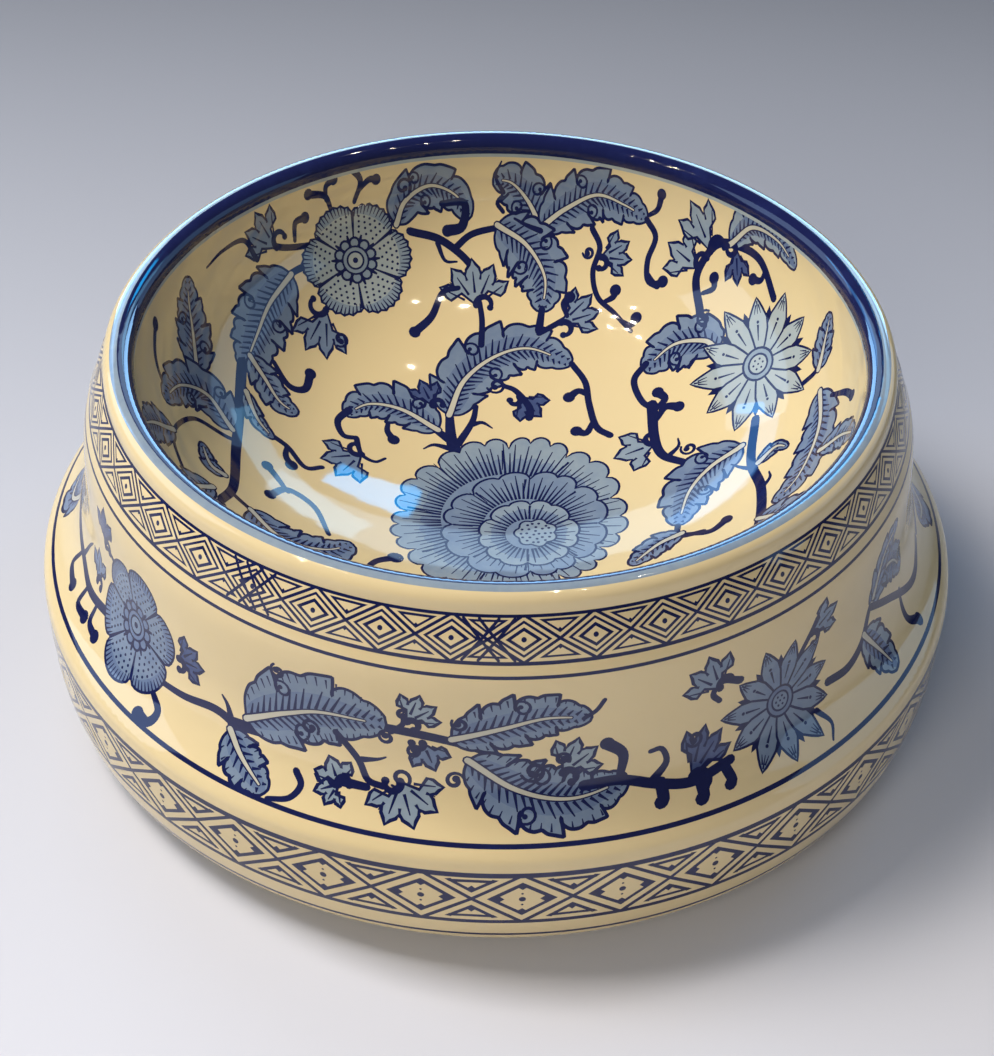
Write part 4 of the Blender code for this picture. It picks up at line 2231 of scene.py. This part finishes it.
@dataclass(frozen=True)
class SoftLight:
    """A rectangular light that faces the bowl."""

    name: str
    place: Point3
    size: Point
    power: float
    colour: Point3
    lights_up: bool = True
    mirrored: bool = True


SOFT_LIGHTS = (
    SoftLight("key", (-0.74, 0.15, 1.36), (0.50, 0.50), 22.0, (1.0, 0.93, 0.84), mirrored=False),
    SoftLight("front_fill", (-0.5, -1.35, 1.0), (0.8, 0.6), 11.0, (1.0, 0.92, 0.78), mirrored=False),
    SoftLight("window_back", (-0.6, 1.30, 1.05), (0.8, 0.6), 5.5, (0.66, 0.80, 1.0), mirrored=False),
    SoftLight("sky_right", (1.0, 1.1, 1.0), (0.8, 0.8), 5.0, (0.42, 0.66, 1.0), mirrored=False),
    SoftLight("sky_left", (-1.2, 0.4, 0.8), (0.5, 0.7), 6.0, (0.46, 0.68, 1.0), mirrored=False),
    SoftLight("window_floor", (0.30, 1.12, 1.06), (0.30, 0.16), 2.2, (0.01, 0.34, 0.80), lights_up=False),
    SoftLight("window_side", (-1.20, 0.95, 1.00), (0.10, 0.30), 0.9, (0.05, 0.42, 1.0), lights_up=False),
    SoftLight("far_sky", (-0.10, 1.30, 0.85), (1.6, 0.30), 4.5, (0.45, 0.70, 1.0), lights_up=False),
    SoftLight("sky_strip", (0.64, 1.11, 0.80), (0.85, 0.22), 1.9, (0.22, 0.62, 1.0), lights_up=False),
    SoftLight("sky_strip_left", (-0.76, 1.15, 0.74), (0.8, 0.30), 3.0, (0.10, 0.42, 1.0), lights_up=False),
    SoftLight("right_room", (1.40, 0.35, 0.52), (2.2, 0.8), 6.5, (0.32, 0.60, 1.0), lights_up=False),
    SoftLight("far_wall", (0.0, 1.5, 0.45), (2.2, 0.50), 36.0, (0.30, 0.60, 1.0), lights_up=False),
    SoftLight("left_room", (-1.35, 0.35, 0.75), (1.5, 0.9), 11.0, (0.48, 0.68, 1.0), lights_up=False),
)

CEILING_LAMPS = (
    (-1.20, -0.28, 8.0),
    (-1.08, -0.16, 5.0),
    (-1.02, -0.38, 9.0),
    (-0.92, -0.22, 5.0),
    (-1.16, -0.02, 6.0),
    (-0.90, -0.50, 6.0),
    (-1.36, -0.56, 8.0),
    (0.32, -0.55, 8.0),
    (0.55, -0.68, 8.0),
    (0.80, -0.62, 6.0),
    (0.55, 0.42, 5.0),
)


@dataclass
class Studio:
    """The floor, the lights and the camera."""

    camera_back: float = 0.4766
    camera_height: float = 0.4470
    camera_tilt: float = 40.70
    camera_roll: float = 1.11
    lens: float = 75.0
    sweep: float = 12.0
    aim: Point3 = (0.0, 0.0, 0.05)
    lamp_height: float = 2.1
    lamp_radius: float = 0.012
    lamp_colour: Point3 = (1.0, 0.90, 0.70)
    room_colour: Point3 = (0.62, 0.68, 0.82)
    room_strength: float = 0.17

    def floor(self) -> bpy.types.Object:
        """The flat paper that the bowl stands on.

        Returns:
            The paper.
        """
        deselect()
        bpy.ops.mesh.primitive_plane_add(size=self.sweep, location=(0.0, 0.0, 0.0))
        paper = bpy.context.active_object
        paper.name = "studio_floor"
        bpy.ops.object.mode_set(mode="EDIT")
        bpy.ops.mesh.subdivide(number_cuts=8)
        bpy.ops.object.mode_set(mode="OBJECT")
        paper.data.materials.append(StudioPaperWithPaintedShade().build())
        return paper

    def area(self, light: SoftLight) -> None:
        """Set up a soft rectangular light.

        Args:
            light: what it is like.
        """
        data = bpy.data.lights.new(light.name, "AREA")
        data.shape = "RECTANGLE"
        data.size, data.size_y = light.size
        data.energy = light.power
        data.color = light.colour
        lamp = bpy.data.objects.new(light.name, data)
        bpy.context.collection.objects.link(lamp)
        facing = (Vector(self.aim) - Vector(light.place)).to_track_quat("-Z", "Y")
        lamp.matrix_world = Matrix.Translation(light.place) @ facing.to_matrix().to_4x4()
        lamp.visible_glossy = light.mirrored
        lamp.visible_diffuse = light.lights_up

    def spots(self) -> None:
        """Small warm ceiling lamps, which sparkle in the glaze."""
        for index, (x, y, power) in enumerate(CEILING_LAMPS):
            data = bpy.data.lights.new(f"ceiling_lamp_{index}", "POINT")
            data.shadow_soft_size = self.lamp_radius
            data.energy = power
            data.color = self.lamp_colour
            lamp = bpy.data.objects.new(data.name, data)
            bpy.context.collection.objects.link(lamp)
            lamp.location = (x, y, self.lamp_height)
            lamp.visible_diffuse = False

    def lights(self) -> None:
        """A warm key, blue windows, ceiling lamps and a dim room."""
        bpy.context.scene.view_settings.view_transform = "Standard"
        world = bpy.data.worlds.new("room")
        bpy.context.scene.world = world
        world.use_nodes = True
        background = world.node_tree.nodes["Background"]
        background.inputs["Color"].default_value = (*self.room_colour, 1.0)
        background.inputs["Strength"].default_value = self.room_strength
        for light in SOFT_LIGHTS:
            self.area(light)
        self.spots()

    def camera(self) -> None:
        """The camera in front of the bowl, looking down into it."""
        data = bpy.data.cameras.new("camera")
        data.lens = self.lens
        data.sensor_width = 36.0
        data.clip_start = 0.01
        lens = bpy.data.objects.new("camera", data)
        bpy.context.collection.objects.link(lens)
        tilt = Matrix.Rotation(math.radians(90.0 - self.camera_tilt), 4, "X")
        roll = Matrix.Rotation(math.radians(self.camera_roll), 4, "Z")
        lens.matrix_world = Matrix.Translation((0.0, -self.camera_back, self.camera_height)) @ tilt @ roll
        bpy.context.scene.camera = lens

    def build(self) -> None:
        """Set up the studio."""
        self.camera()
        self.floor()
        self.lights()


def main() -> None:
    """Build the bowl and the studio."""
    logging.basicConfig(level=logging.INFO, format="%(name)s: %(message)s")
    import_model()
    Studio().build()
    sizes = BowlSizes.from_frame()
    glaze = Glaze().build()
    clay = BareClay().build()
    pieces = [Basin(sizes, glaze).build(), UpperWall(sizes, glaze).build(), BellyWall(sizes, glaze).build()]
    pieces += Underside(glaze, clay).build()
    for piece in pieces:
        log.info("%s: %d faces", piece.name, len(piece.data.polygons))


if __name__ == "__main__":
    main()
